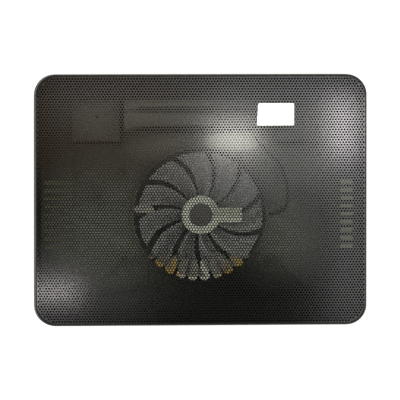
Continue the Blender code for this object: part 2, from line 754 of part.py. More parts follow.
def build_rotor():
    """The hub with its blades, and what turns with it."""
    axis = axis_empty("fan_axis", (0.0, FAN_Y, 0.0))
    bore = SHAFT_RADIUS + SEAT_GAP
    bore_top = BOSS_BOTTOM + SHAFT_GRIP
    hub = turned(
        (
            (0.0, HUB_TOP),
            (HUB_RADIUS - HUB_BEVEL, HUB_TOP),
            (HUB_RADIUS, HUB_TOP - HUB_BEVEL),
            (HUB_RADIUS, HUB_BOTTOM),
            (HUB_RADIUS - HUB_WALL, HUB_BOTTOM),
            (HUB_RADIUS - HUB_WALL, HUB_TOP - HUB_PLATE),
            (BOSS_RADIUS, HUB_TOP - HUB_PLATE),
            (BOSS_RADIUS, BOSS_BOTTOM),
            (bore, BOSS_BOTTOM),
            (bore, bore_top),
            (0.0, bore_top),
        )
    )
    rotor = piece("fan_rotor", mesh_of("fan_rotor", hub), "smoky_blade", parent=axis)
    first = math.radians(BLADE_FIRST_DEG)
    blades = [spun(blade(), first + math.tau * number / BLADE_COUNT) for number in range(BLADE_COUNT)]
    blade_helper = helper("blades", joined("blades", blades))
    blade_helper.parent = axis
    boolean(rotor, blade_helper, "UNION")

    label_low = HUB_TOP + SEAT_GAP
    tail_half = math.asin(LABEL_TAIL_WIDTH / 2 / LABEL_RADIUS)
    outline = arc((0.0, 0.0), LABEL_RADIUS, tail_half, math.tau - tail_half, TURN_STEPS)
    outline += [(LABEL_TAIL, -LABEL_TAIL_WIDTH / 2), (LABEL_TAIL, LABEL_TAIL_WIDTH / 2)]
    label = prism(outline, label_low, label_low + LABEL_THICK)
    piece("hub_label", mesh_of("hub_label", label), "pale_label", parent=axis)

    yoke_hole = BOSS_RADIUS + SEAT_GAP
    yoke = turned(
        (
            (yoke_hole, YOKE_TOP),
            (YOKE_RADIUS, YOKE_TOP),
            (YOKE_RADIUS, BOARD_TOP),
            (YOKE_RADIUS - YOKE_WALL, BOARD_TOP),
            (YOKE_RADIUS - YOKE_WALL, YOKE_TOP - YOKE_WALL),
            (yoke_hole, YOKE_TOP - YOKE_WALL),
        )
    )
    piece("rotor_yoke", mesh_of("rotor_yoke", yoke), "bright_steel", parent=axis)
    magnet = ring(MAGNET_INNER, MAGNET_OUTER, STATOR_BOTTOM - SEAT_GAP, YOKE_TOP - YOKE_WALL - SEAT_GAP)
    piece("ring_magnet", mesh_of("ring_magnet", magnet), "grey_ferrite", parent=axis)
    shaft = disc(SHAFT_RADIUS, CLIP_BOTTOM, bore_top - SEAT_GAP, SMALL_STEPS)
    piece("rotor_shaft", mesh_of("rotor_shaft", shaft), "bright_steel", parent=axis)
    clip_inner = SHAFT_RADIUS + SEAT_GAP
    clip = ring(clip_inner, clip_inner + CLIP_RIM, CLIP_BOTTOM, CLIP_BOTTOM + CLIP_THICK, SMALL_STEPS)
    piece("shaft_clip", mesh_of("shaft_clip", clip), "bright_steel", parent=axis)


# Motor


def stator_outline():
    """A four-pole lamination: a round middle, straight arms and curved pole faces."""
    core = TUBE_OUTER + SEAT_GAP + POLE_WIDTH / 3
    neck = STATOR_RADIUS - POLE_TIP
    face_half = math.pi / POLE_COUNT - 2 * AIR_GAP / STATOR_RADIUS
    points = []
    for pole in range(POLE_COUNT):
        turn = math.tau * pole / POLE_COUNT
        half_width = POLE_WIDTH / 2
        arm_turn = math.asin(half_width / core)
        neck_turn = math.asin(half_width / neck)
        points.append(polar(core, turn - arm_turn))
        points += arc((0.0, 0.0), neck, turn - neck_turn, turn - face_half, SLOT_END_STEPS)
        points += arc((0.0, 0.0), STATOR_RADIUS, turn - face_half, turn + face_half, SLOT_END_STEPS)
        points += arc((0.0, 0.0), neck, turn + face_half, turn + neck_turn, SLOT_END_STEPS)
        points.append(polar(core, turn + arm_turn))
    return points


def coil(turn):
    """One winding, a square tube round a pole's arm."""
    hole = POLE_WIDTH / 2 + SEAT_GAP
    near = TUBE_OUTER + SEAT_GAP + POLE_WIDTH / 2
    far = math.sqrt((STATOR_RADIUS - POLE_TIP) ** 2 - (hole + COIL_BUILD) ** 2) - SEAT_GAP
    low, high = STATOR_BOTTOM - SEAT_GAP, STATOR_TOP + SEAT_GAP
    build = STATOR_LIFT - 2 * SEAT_GAP
    form = bmesh.new()
    rows = []
    for x in (near, far):
        for wide, tall in ((hole + COIL_BUILD, build), (hole, 0.0)):
            corners = ((-wide, low - tall), (wide, low - tall), (wide, high + tall), (-wide, high + tall))
            rows.append([form.verts.new((x, y, z)) for y, z in corners])
    near_outer, near_inner, far_outer, far_inner = rows
    bridge(form, near_outer, far_outer)
    bridge(form, near_inner, far_inner)
    bridge(form, near_outer, near_inner)
    bridge(form, far_outer, far_inner)
    bmesh.ops.recalc_face_normals(form, faces=form.faces)
    return spun(form, turn)


def build_motor():
    """The part of the motor that stands still, on its seat in the middle of the guard."""
    centre = (0.0, FAN_Y, 0.0)
    flange = turned(
        (
            (TUBE_INNER, FLANGE_BOTTOM),
            (FLANGE_RADIUS, FLANGE_BOTTOM),
            (FLANGE_RADIUS, FLANGE_TOP),
            (TUBE_OUTER, FLANGE_TOP),
            (TUBE_OUTER, TUBE_TOP),
            (TUBE_INNER, TUBE_TOP),
        )
    )
    motor_base = piece("motor_base", mesh_of("motor_base", flange), "black_abs", centre)
    drillings = []
    for x, y in screw_places():
        drilling = disc(SCREW_SHANK + SEAT_GAP, FLANGE_BOTTOM - CUT_OVER, FLANGE_TOP + CUT_OVER, SMALL_STEPS)
        drillings.append(moved(drilling, (x, y, 0.0)))
    drill_helper = helper("motor_base_drillings", joined("motor_base_drillings", drillings))
    drill_helper.location = centre
    boolean(motor_base, drill_helper, "DIFFERENCE")

    sleeve = ring(SLEEVE_INNER, SLEEVE_OUTER, SLEEVE_BOTTOM, SLEEVE_TOP, SMALL_STEPS)
    piece("bearing_sleeve", mesh_of("bearing_sleeve", sleeve), "sintered_bronze", centre)
    board = ring(TUBE_OUTER + SEAT_GAP, FLANGE_RADIUS, BOARD_BOTTOM, BOARD_TOP)
    piece("motor_board", mesh_of("motor_board", board), "green_board", centre)

    stator = prism(stator_outline(), STATOR_BOTTOM, STATOR_TOP)
    core = piece("stator_core", mesh_of("stator_core", stator), "bright_steel", centre)
    core_bore = disc(TUBE_OUTER + SEAT_GAP, STATOR_BOTTOM - CUT_OVER, STATOR_TOP + CUT_OVER)
    bore_helper = helper("stator_bore", mesh_of("stator_bore", core_bore))
    bore_helper.location = centre
    boolean(core, bore_helper, "DIFFERENCE")
    for pole in range(POLE_COUNT):
        winding = coil(math.tau * pole / POLE_COUNT)
        name = f"stator_coil_{pole + 1}"
        piece(name, mesh_of(name, winding), "enamelled_copper", centre)


def build_screws():
    """Cross-head screws, driven up through the seat into the motor's flange."""
    head_low = STANDOFF + SCREW_SUNK
    head_high = head_low + SCREW_HEAD_HEIGHT
    profile = (
        (0.0, head_low),
        (SCREW_HEAD, head_low),
        (SCREW_HEAD, head_high),
        (SCREW_SHANK, head_high),
        (SCREW_SHANK, FLANGE_TOP),
        (0.0, FLANGE_TOP),
    )
    half, thin = CROSS_LENGTH / 2, CROSS_WIDTH / 2
    cross = joined(
        "cross",
        [
            block((-half, -thin, head_low - CUT_OVER), (half, thin, head_low + CROSS_DEPTH)),
            block((-thin, -half, head_low - CUT_OVER), (thin, half, head_low + CROSS_DEPTH)),
        ],
    )
    for number, (x, y) in enumerate(screw_places(), start=1):
        name = f"motor_screw_{number}"
        place = (x, FAN_Y + y, 0.0)
        screw = piece(name, mesh_of(name, turned(profile, SMALL_STEPS)), "bright_steel", place)
        driver = helper(f"cross_{number}", cross)
        driver.location = place
        boolean(screw, driver, "DIFFERENCE")


# Legs


def leg_profile():
    """Side view of a folded leg as (y, z) about its hinge line: a round heel and a straight plate."""
    half = LEG_THICK / 2
    heel = arc((0.0, 0.0), half, -math.pi / 2, math.pi / 2, SMALL_STEPS // 2)
    lip = half / 2
    upper = [(-LEG_LENGTH + lip, half), (-LEG_LENGTH, half - lip)]
    lower = [(y, -z) for y, z in reversed(upper)]
    return heel + upper + lower


def leg_form():
    """The leg's plate, as wide as the well lets it be."""
    form = prism([(z, y) for y, z in leg_profile()], -LEG_WIDTH / 2, LEG_WIDTH / 2)
    to_side = Matrix(((0, 0, 1), (0, 1, 0), (1, 0, 0)))
    bmesh.ops.transform(form, matrix=to_side.to_4x4(), verts=form.verts)
    bmesh.ops.recalc_face_normals(form, faces=form.faces)
    return form


def build_leg(side_name, side):
    """A leg that folds down about its hinge line, with a rubber tip on its free end."""
    hinge = axis_empty(f"{side_name}_leg_hinge", (side * LEG_X, HINGE_Y, HINGE_Z))
    half_reach = LEG_WIDTH / 2 + SLIDE_GAP + PIN_REACH
    name = f"{side_name}_leg"
    leg = piece(name, mesh_of(name, leg_form()), "black_abs", parent=hinge)
    pins = laid_along_x(disc(PIN_RADIUS, -half_reach, half_reach, SMALL_STEPS))
    pin_helper = helper(f"{name}_pins", mesh_of(f"{name}_pins", pins))
    pin_helper.parent = hinge
    boolean(leg, pin_helper, "UNION")
    half = LEG_THICK / 2
    face_low = (-LEG_WIDTH / 2 + LEG_PANEL_MARGIN, -LEG_LENGTH + LEG_PANEL_MARGIN, -half - CUT_OVER)
    face_high = (LEG_WIDTH / 2 - LEG_PANEL_MARGIN, -LEG_PANEL_MARGIN, -half + LEG_PANEL_DEPTH)
    face_helper = helper(f"{name}_face", mesh_of(f"{name}_face", block(face_low, face_high)))
    face_helper.parent = hinge
    boolean(leg, face_helper, "DIFFERENCE")

    tip_rear = -LEG_LENGTH - SEAT_GAP
    tip_half = LEG_WIDTH / 2 - TIP_MARGIN
    tip = block((-tip_half, tip_rear - TIP_THICK, -TIP_HEIGHT / 2), (tip_half, tip_rear, TIP_HEIGHT / 2))
    tip_name = f"{side_name}_leg_tip"
    piece(tip_name, mesh_of(tip_name, tip), "black_rubber", parent=hinge)


# Feet, gland and lead


def foot_places():
    """Rubber feet by name, near the four corners."""
    x = BODY_WIDTH / 2 - FOOT_FROM_SIDE
    y = BODY_DEPTH / 2 - FOOT_FROM_END
    ends = (("front", -y), ("rear", y))
    sides = (("left", -x), ("right", x))
    return {f"rubber_foot_{end}_{side}": (at_x, at_y) for end, at_y in ends for side, at_x in sides}


def build_feet():
    top = STANDOFF + FOOT_SUNK
    profile = (
        (0.0, 0.0),
        (FOOT_RADIUS - FOOT_BEVEL, 0.0),
        (FOOT_RADIUS, FOOT_BEVEL),
        (FOOT_RADIUS, top),
        (0.0, top),
    )
    for name, (x, y) in foot_places().items():
        piece(name, mesh_of(name, turned(profile, TURN_STEPS)), "black_rubber", (x, y, 0.0))


def gland_inner_face():
    """The y of the gland's face inside the tray."""
    return BAY_FRONT - POCKET_WALL - SEAT_GAP - GLAND_FLANGE_THICK


def build_gland():
    """A rubber bush with two flanges, in the front wall of the cable bay, open for the cord."""
    wall_half = POCKET_WALL / 2 + SEAT_GAP
    end = wall_half + GLAND_FLANGE_THICK
    bush = turned(
        (
            (GLAND_BORE, -end),
            (GLAND_FLANGE, -end),
            (GLAND_FLANGE, -wall_half),
            (GLAND_BODY, -wall_half),
            (GLAND_BODY, wall_half),
            (GLAND_FLANGE, wall_half),
            (GLAND_FLANGE, end),
            (GLAND_BORE, end),
        ),
        SMALL_STEPS,
    )
    place = (GLAND_X, BAY_FRONT - POCKET_WALL / 2, GLAND_Z)
    gland = piece("cable_gland", mesh_of("cable_gland", bush), "black_rubber", place)
    gland.rotation_euler = (math.pi / 2, 0.0, 0.0)


def lead_route():
    """Points that the lead passes: out of the gland, down to the floor, round a post and in along a rib."""
    start = gland_inner_face() - SEAT_GAP
    end = FLANGE_RADIUS + SEAT_GAP
    past_post = SHROUD_OUTER + POST_OFF_SHROUD + POST_FOOT + 3 * LEAD_RADIUS
    post_x, post_y = polar(past_post, math.radians(POST_TURN_DEG))
    return [
        Vector((GLAND_X, start, GLAND_Z)),
        Vector((GLAND_X, start - 0.004, GLAND_Z)),
        Vector((GLAND_X + 0.004, start - 0.012, LEAD_Z + 0.001)),
        Vector((GLAND_X + 0.015, start - 0.023, LEAD_Z)),
        Vector((post_x, FAN_Y + post_y, LEAD_Z)),
        Vector((SHROUD_OUTER + 0.0210, FAN_Y + 0.022, LEAD_Z)),
        Vector((SHROUD_OUTER + 0.0180, FAN_Y + 0.006, LEAD_Z)),
        Vector((SHROUD_OUTER + 0.0080, FAN_Y + 0.0005, LEAD_Z)),
        Vector((SHROUD_OUTER - 0.004, FAN_Y, LEAD_Z)),
        Vector((GUARD_MIDDLE, FAN_Y, LEAD_Z)),
        Vector((SEAT_RADIUS + 0.010, FAN_Y, LEAD_Z + 0.0002)),
        Vector((SEAT_RADIUS + 0.0035, FAN_Y, LEAD_Z_ON_SEAT)),
        Vector((end + 0.004, FAN_Y, LEAD_Z_ON_SEAT)),
        Vector((end, FAN_Y, LEAD_Z_ON_SEAT)),
    ]


def smooth_points(route, step):
    """Points about a step apart on a smooth curve through the route."""
    ends = [2 * route[0] - route[1], *route, 2 * route[-1] - route[-2]]
    points = [route[0]]
    for before, here, ahead, beyond in zip(ends, ends[1:], ends[2:], ends[3:]):
        count = max(1, round((ahead - here).length / step))
        for number in range(1, count + 1):
            t = number / count
            points.append(
                0.5
                * (
                    2 * here
                    + (ahead - before) * t
                    + (2 * before - 5 * here + 4 * ahead - beyond) * t**2
                    + (3 * here - before - 3 * ahead + beyond) * t**3
                )
            )
    return points


def build_lead():
    """The two-core lead from the gland to the motor's board, lying on the floor all the way."""
    curve = bpy.data.curves.new("fan_lead", "CURVE")
    curve.dimensions = "3D"
    curve.bevel_depth = LEAD_RADIUS
    curve.bevel_resolution = 2
    curve.use_fill_caps = True
    points = smooth_points(lead_route(), LEAD_STEP)
    spline = curve.splines.new("POLY")
    spline.points.add(len(points) - 1)
    for target, point in zip(spline.points, points):
        target.co = (*point, 1.0)
    piece("fan_lead", curve, "black_pvc")


def main():
    clear_scene()
    build_tray()
    build_panel()
    build_rotor()
    build_motor()
    build_screws()
    build_leg("left", -1)
    build_leg("right", 1)
    build_feet()
    build_gland()
    build_lead()


main()
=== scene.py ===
"""Looks of a laptop cooling pad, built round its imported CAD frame.

Units are metres in the frame's own axes: +X to the right, +Y to the rear and +Z up.
"""

import logging
import math
from collections.abc import Mapping, Sequence
from dataclasses import dataclass, field
from enum import Enum
from typing import Any

import bmesh
import bpy
import numpy as np
from mathutils import Matrix, Vector
from mathutils.geometry import delaunay_2d_cdt


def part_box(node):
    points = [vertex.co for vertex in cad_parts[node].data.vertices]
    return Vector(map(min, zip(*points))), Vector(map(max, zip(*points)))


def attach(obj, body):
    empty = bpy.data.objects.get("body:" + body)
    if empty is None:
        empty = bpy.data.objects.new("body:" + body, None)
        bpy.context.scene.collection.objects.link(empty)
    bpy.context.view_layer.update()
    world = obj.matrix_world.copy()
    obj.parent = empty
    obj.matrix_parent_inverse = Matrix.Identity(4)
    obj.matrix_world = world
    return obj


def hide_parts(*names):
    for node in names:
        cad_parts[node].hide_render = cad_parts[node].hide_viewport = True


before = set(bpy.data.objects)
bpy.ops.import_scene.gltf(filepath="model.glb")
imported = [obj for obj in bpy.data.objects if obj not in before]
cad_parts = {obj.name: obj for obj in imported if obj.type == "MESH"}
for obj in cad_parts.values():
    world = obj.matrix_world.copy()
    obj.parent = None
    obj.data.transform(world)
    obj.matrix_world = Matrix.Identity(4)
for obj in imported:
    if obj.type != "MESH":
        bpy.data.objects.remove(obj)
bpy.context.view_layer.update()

LOG = logging.getLogger("cooling_pad")
MM = 0.001
SAME_POINT = 1e-7
# Most values of a noise texture lie in this span.
NOISE_SPAN = (0.25, 0.75)
# Where a patch begins and ends to fade, as shares of its half lengths: a narrow edge and a wide one.
PATCH_EDGE = (0.75, 1.25)
WIDE_EDGE = (0.1, 1.5)


class Slot(Enum):
    """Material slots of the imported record."""

    BLACK_ABS = "black_abs"
    PAINTED_STEEL = "painted_steel"
    WHITE_BADGE = "white_badge"
    SMOKY_BLADE = "smoky_blade"
    PALE_LABEL = "pale_label"
    BRIGHT_STEEL = "bright_steel"
    GREY_FERRITE = "grey_ferrite"
    SINTERED_BRONZE = "sintered_bronze"
    ENAMELLED_COPPER = "enamelled_copper"
    GREEN_BOARD = "green_board"
    BLACK_RUBBER = "black_rubber"
    BLACK_PVC = "black_pvc"


class Body(Enum):
    """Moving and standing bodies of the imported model."""

    BASE = "base"
    ROTOR = "rotor"
    LEFT_LEG = "left_leg"
    RIGHT_LEG = "right_leg"


# Shader helpers


def linear(hex_code: str) -> tuple[float, float, float, float]:
    """Turns an sRGB hex value into the linear colour that a shader takes.

    Args:
        hex_code: six hex digits, such as "1c1a18".

    Returns:
        Red, green, blue and an alpha of one.
    """
    coded = np.array([int(hex_code[place : place + 2], 16) for place in (0, 2, 4)]) / 255.0
    light = np.where(coded <= 0.04045, coded / 12.92, ((coded + 0.055) / 1.055) ** 2.4)
    return (*light.tolist(), 1.0)


def add_node(
    tree: bpy.types.NodeTree, kind: str, inputs: Mapping[Any, Any] | None = None, **settings: Any
) -> bpy.types.Node:
    """Adds one node, sets its fields, and fills or links its inputs.

    Args:
        tree: the node tree that gets the node.
        kind: the node's type name.
        inputs: a value or an output socket for each input, by name or number.
        settings: fields of the node itself.

    Returns:
        The new node.
    """
    node = tree.nodes.new(kind)
    for name, value in settings.items():
        setattr(node, name, value)
    for socket, value in (inputs or {}).items():
        if isinstance(value, bpy.types.NodeSocket):
            tree.links.new(value, node.inputs[socket])
        else:
            node.inputs[socket].default_value = value
    return node


def math_node(
    tree: bpy.types.NodeTree, operation: str, *inputs: Any, **settings: Any
) -> bpy.types.NodeSocket:
    """Adds one math node.

    Args:
        tree: the node tree that gets the node.
        operation: what the node works out.
        inputs: its values or output sockets, in order.
        settings: other fields of the node.

    Returns:
        The result's socket.
    """
    node = add_node(tree, "ShaderNodeMath", dict(enumerate(inputs)), operation=operation, **settings)
    return node.outputs[0]


# Finishes


@dataclass(frozen=True)
class Finish:
    """A surface that drifts between two close tones and carries a fine grain.

    The drift is large soft noise in the colour. The grain is fine noise that moves the roughness
    and lifts the surface a little.
    """

    name: str
    slot: Slot
    tone: str
    second_tone: str
    drift_mm: float
    grain_mm: float
    grain_height_mm: float
    roughness: float
    roughness_spread: float
    metallic: float = 0.0
    specular: float = 0.5

    def material(self) -> bpy.types.Material:
        """Hands out this finish's material, which is made at the first call."""
        return bpy.data.materials.get(self.name) or self.make()

    def make(self) -> bpy.types.Material:
        """Builds the node tree: place, drift, grain, shader and output.

        Returns:
            The new material.
        """
        material = bpy.data.materials.new(self.name)
        material.use_nodes = True
        tree = material.node_tree
        tree.nodes.clear()
        place = add_node(tree, "ShaderNodeTexCoord").outputs["Object"]
        shader = add_node(
            tree,
            "ShaderNodeBsdfPrincipled",
            {"Metallic": self.metallic, "Specular IOR Level": self.specular},
        )
        tree.links.new(self.colour(tree, place), shader.inputs["Base Color"])
        grain = self.grain(tree, place)
        rough = add_node(
            tree,
            "ShaderNodeMapRange",
            {
                "Value": grain,
                "From Min": NOISE_SPAN[0],
                "From Max": NOISE_SPAN[1],
                "To Min": self.roughness - self.roughness_spread,
                "To Max": self.roughness + self.roughness_spread,
            },
        )
        tree.links.new(rough.outputs["Result"], shader.inputs["Roughness"])
        relief = add_node(
            tree,
            "ShaderNodeBump",
            {"Height": grain, "Distance": self.grain_height_mm * MM, "Strength": 1.0},
        )
        tree.links.new(relief.outputs["Normal"], shader.inputs["Normal"])
        self.extras(tree, place, shader)
        add_node(tree, "ShaderNodeOutputMaterial", {"Surface": shader.outputs["BSDF"]})
        return material

    def colour(self, tree: bpy.types.NodeTree, place: bpy.types.NodeSocket) -> bpy.types.NodeSocket:
        """Mixes the two tones by soft noise as wide as the drift.

        Args:
            tree: the material's node tree.
            place: the Object coordinates.

        Returns:
            The colour socket.
        """
        patches = add_node(
            tree,
            "ShaderNodeTexNoise",
            {"Vector": place, "Scale": 1.0 / (self.drift_mm * MM), "Detail": 3.0, "Roughness": 0.6},
        )
        tones = add_node(
            tree,
            "ShaderNodeMix",
            {"Factor": patches.outputs["Fac"], "A": linear(self.tone), "B": linear(self.second_tone)},
            data_type="RGBA",
        )
        return tones.outputs["Result"]

    def grain(self, tree: bpy.types.NodeTree, place: bpy.types.NodeSocket) -> bpy.types.NodeSocket:
        """Makes fine noise whose lumps are as wide as the grain.

        Args:
            tree: the material's node tree.
            place: the Object coordinates.

        Returns:
            The grain's height socket.
        """
        lumps = add_node(
            tree,
            "ShaderNodeTexNoise",
            {"Vector": place, "Scale": 1.0 / (self.grain_mm * MM), "Detail": 2.0},
        )
        return lumps.outputs["Fac"]

    def extras(
        self, tree: bpy.types.NodeTree, place: bpy.types.NodeSocket, shader: bpy.types.Node
    ) -> None:
        """Adds what only some finishes have, which is nothing here."""


@dataclass(frozen=True)
class SmokyPlastic(Finish):
    """Tinted clear styrene: most of the light goes through it, so blades show what lies below."""

    see_through: float = 0.68

    def extras(
        self, tree: bpy.types.NodeTree, place: bpy.types.NodeSocket, shader: bpy.types.Node
    ) -> None:
        """Lets the see-through share of the light pass."""
        shader.inputs["Transmission Weight"].default_value = self.see_through


@dataclass(frozen=True)
class Patch:
    """Oval patch: its middle, its half lengths along X and Y, its share and its edge.

    The share is what the patch adds, or takes where negative. The edge says where it begins and ends to
    fade. """

    middle_mm: tuple[float, float]
    half_mm: tuple[float, float]
    share: float
    edge: tuple[float, float] = PATCH_EDGE

    def add(self, tree: bpy.types.NodeTree, place: bpy.types.NodeSocket) -> bpy.types.NodeSocket:
        """Works out the patch's share from the place.

        The distance from the middle counts as one on the oval, and the share falls smoothly across it.

        Args:
            tree: the material's node tree.
            place: the Object coordinates.

        Returns:
            The share's socket.
        """
        across = [1.0 / (half * MM) for half in self.half_mm]
        oval = add_node(
            tree,
            "ShaderNodeMapping",
            {
                "Vector": place,
                "Location": [-middle * MM * scale for middle, scale in zip(self.middle_mm, across)] + [0.0],
                "Scale": [*across, 0.0],
            },
        )
        far = add_node(tree, "ShaderNodeVectorMath", {0: oval.outputs["Vector"]}, operation="LENGTH")
        share = add_node(
            tree,
            "ShaderNodeMapRange",
            {
                "Value": far.outputs["Value"],
                "From Min": self.edge[0],
                "From Max": self.edge[1],
                "To Min": self.share,
                "To Max": 0.0,
            },
            interpolation_type="SMOOTHSTEP",
        )
        return share.outputs["Result"]


@dataclass(frozen=True)
class Ledge:
    """Level face made paler partly by dust and partly by painted light on raised faces: its height, the pale
    share on it and how exact the height is.
    """

    height_mm: float
    share: float
    within_mm: float = 0.4

    def add(self, tree: bpy.types.NodeTree, height: bpy.types.NodeSocket) -> bpy.types.NodeSocket:
        """Works out the ledge's share from the height.

        Args:
            tree: the material's node tree.
            height: the Z of the Object coordinates.

        Returns:
            The share's socket.
        """
        level = math_node(tree, "COMPARE", height, self.height_mm * MM, self.within_mm * MM)
        return math_node(tree, "MULTIPLY", level, self.share)


@dataclass(frozen=True)
class DustAndPaintedLightPlastic(Finish):
    """Plastic with dust and painted light inside: paler patches round the fan and on raised ledges, partly
    dust and partly painted light, and painted shade where shares are negative.
    """

    dust_and_light_tone: str = "888b7c"
    dust_and_light_floor_mm: float = 4.0
    dust_and_light_half_mm: tuple[float, float] = (162.0, 120.0)
    patches: tuple[Patch, ...] = ()
    ledges: tuple[Ledge, ...] = ()

    def dust_and_light_share(self, tree: bpy.types.NodeTree, place: bpy.types.NodeSocket) -> bpy.types.NodeSocket:
        """Works out the share of dust and painted light from the place on the tray, where negative patches
        paint shade.

        The shares of the ledges and the patches are added. Below the floor's middle and outside the walls
        the share is nothing.

        Args:
            tree: the material's node tree.
            place: the Object coordinates.

        Returns:
            The share's socket.
        """
        axes = add_node(tree, "ShaderNodeSeparateXYZ", {"Vector": place})
        parts = [ledge.add(tree, axes.outputs["Z"]) for ledge in self.ledges]
        parts += [patch.add(tree, place) for patch in self.patches]
        share = parts[0]
        for part in parts[1:]:
            share = math_node(tree, "ADD", share, part, use_clamp=True)
        inside = math_node(tree, "GREATER_THAN", axes.outputs["Z"], self.dust_and_light_floor_mm * MM)
        for axis, half in zip("XY", self.dust_and_light_half_mm):
            reach = math_node(tree, "ABSOLUTE", axes.outputs[axis])
            within = math_node(tree, "LESS_THAN", reach, half * MM)
            inside = math_node(tree, "MULTIPLY", inside, within)
        return math_node(tree, "MULTIPLY", share, inside)

    def extras(
        self, tree: bpy.types.NodeTree, place: bpy.types.NodeSocket, shader: bpy.types.Node
    ) -> None:
        """Lays the dust and the painted light and shade over the plastic's tone.

        Args:
            tree: the material's node tree.
            place: the Object coordinates.
            shader: the shader, whose colour is linked already.
        """
        share = self.dust_and_light_share(tree, place)
        clean = shader.inputs["Base Color"].links[0].from_socket
        tones = add_node(
            tree,
            "ShaderNodeMix",
            {"Factor": share, "A": clean, "B": linear(self.dust_and_light_tone)},
            data_type="RGBA",
        )
        tree.links.new(tones.outputs["Result"], shader.inputs["Base Color"])


@dataclass(frozen=True)
class LitPaper(Finish):
    """Paper that is lit from behind too, so that shadows on it stay pale."""

    glow: float = 0.75

    def extras(
        self, tree: bpy.types.NodeTree, place: bpy.types.NodeSocket, shader: bpy.types.Node
    ) -> None:
        """Adds an even white glow."""
        shader.inputs["Emission Color"].default_value = linear("ffffff")
        shader.inputs["Emission Strength"].default_value = self.glow


@dataclass(frozen=True)
class WoundWire(Finish):
    """Enamelled wire laid turn by turn: a grain of even ridges in place of noise."""

    def grain(self, tree: bpy.types.NodeTree, place: bpy.types.NodeSocket) -> bpy.types.NodeSocket:
        """Makes ridges one wire apart along a line across the windings.

        Args:
            tree: the material's node tree.
            place: the Object coordinates.

        Returns:
            The ridges' height socket.
        """
        turns = add_node(
            tree,
            "ShaderNodeTexWave",
            {"Vector": place, "Scale": math.pi / (10.0 * self.grain_mm * MM), "Distortion": 0.6},
            bands_direction="DIAGONAL",
        )
        return turns.outputs["Fac"]


# Cold-rolled sheet under black powder coat: a satin skin with a slight orange peel and a warm black tone.
# Real orange peel is about 1 mm wide.
POWDER_COAT = Finish(
    name="powder_coated_steel",
    slot=Slot.PAINTED_STEEL,
    tone="060606",
    second_tone="0a0a09",
    drift_mm=45.0,
    grain_mm=1.1,
    grain_height_mm=0.008,
    roughness=0.22,
    roughness_spread=0.02,
)
# Injection moulded ABS from a spark-eroded mould: an even matt grain, about 0.4 mm, on deep black.
MOULDED_ABS = Finish(
    name="moulded_black_abs",
    slot=Slot.BLACK_ABS,
    tone="141312",
    second_tone="1c1b1a",
    drift_mm=30.0,
    grain_mm=0.4,
    grain_height_mm=0.01,
    roughness=0.36,
    roughness_spread=0.05,
)
# The same plastic with pale dust that also stands for painted light: the soft pale areas on the floor and
# the pale ledges are partly dust and partly painted light on the lit floor and raised faces.
# The full patch between the bay and the fan is a painted pool of light, and negative shares are painted
# shade: dark lines by the bay and the wells, and the shade round the fan.
DUST_AND_LIGHT_ABS = DustAndPaintedLightPlastic(
    name="black_abs_with_dust_and_painted_light",
    slot=Slot.BLACK_ABS,
    tone="141312",
    second_tone="1c1b1a",
    drift_mm=35.0,
    grain_mm=1.2,
    grain_height_mm=0.01,
    roughness=0.5,
    roughness_spread=0.05,
    specular=0.18,
    ledges=(Ledge(12.5, 0.22), Ledge(17.2, 0.48)),
    patches=(
        Patch((-82.0, -30.0), (108.0, 70.0), 0.76, WIDE_EDGE),
        Patch((80.0, -42.0), (42.0, 42.0), 0.80, WIDE_EDGE),
        Patch((85.0, 30.0), (50.0, 50.0), 0.55, WIDE_EDGE),
        # Painted pool of light between the bay and the fan.
        Patch((36.0, 59.5), (29.0, 9.5), 1.0),
        Patch((-24.0, 54.0), (46.0, 16.0), 0.60, WIDE_EDGE),
        Patch((34.0, 80.0), (45.0, 6.0), 0.25),
        Patch((-105.0, 78.0), (45.0, 34.0), 0.10, WIDE_EDGE),
        # Painted shade from here on: dark lines by the bay and the wells, and round the fan.
        Patch((8.0, 72.0), (78.0, 4.0), -0.8),
        Patch((-11.5, 91.2), (70.0, 4.0), -0.4),
        Patch((-80.5, 80.0), (1.8, 24.0), -0.9),
        Patch((-105.0, 58.5), (26.0, 1.8), -0.9),
        Patch((105.0, 58.5), (26.0, 1.8), -0.9),
        Patch((0.0, -15.4), (60.0, 60.0), -0.8),
    ),
)
# Aluminium plate under white lacquer: smooth, with a faint cloudiness and a soft gloss.
WHITE_LACQUER = Finish(
    name="white_lacquered_plate",
    slot=Slot.WHITE_BADGE,
    tone="fbfbfa",
    second_tone="f1f1ee",
    drift_mm=9.0,
    grain_mm=0.5,
    grain_height_mm=0.004,
    roughness=0.32,
    roughness_spread=0.03,
)
# Smoky styrene, moulded: grey and mostly clear with a slight haze, and the gloss of a polished mould.
SMOKY_STYRENE = SmokyPlastic(
    name="smoky_moulded_styrene",
    slot=Slot.SMOKY_BLADE,
    tone="c4c4c0",
    second_tone="cfcfca",
    drift_mm=14.0,
    grain_mm=0.8,
    grain_height_mm=0.004,
    roughness=0.12,
    roughness_spread=0.03,
)
# Printed paper label under film: pale, slightly green, with fibres that show as faint clouds.
PALE_PAPER = Finish(
    name="pale_paper_label",
    slot=Slot.PALE_LABEL,
    tone="d8dec8",
    second_tone="c9d0b8",
    drift_mm=3.5,
    grain_mm=0.25,
    grain_height_mm=0.006,
    roughness=0.48,
    roughness_spread=0.08,
)
# The same film printed dark in the middle of the label.
DARK_PAPER = Finish(
    name="dark_paper_label",
    slot=Slot.PALE_LABEL,
    tone="504e49",
    second_tone="5c5a53",
    drift_mm=3.5,
    grain_mm=0.25,
    grain_height_mm=0.006,
    roughness=0.42,
    roughness_spread=0.08,
)
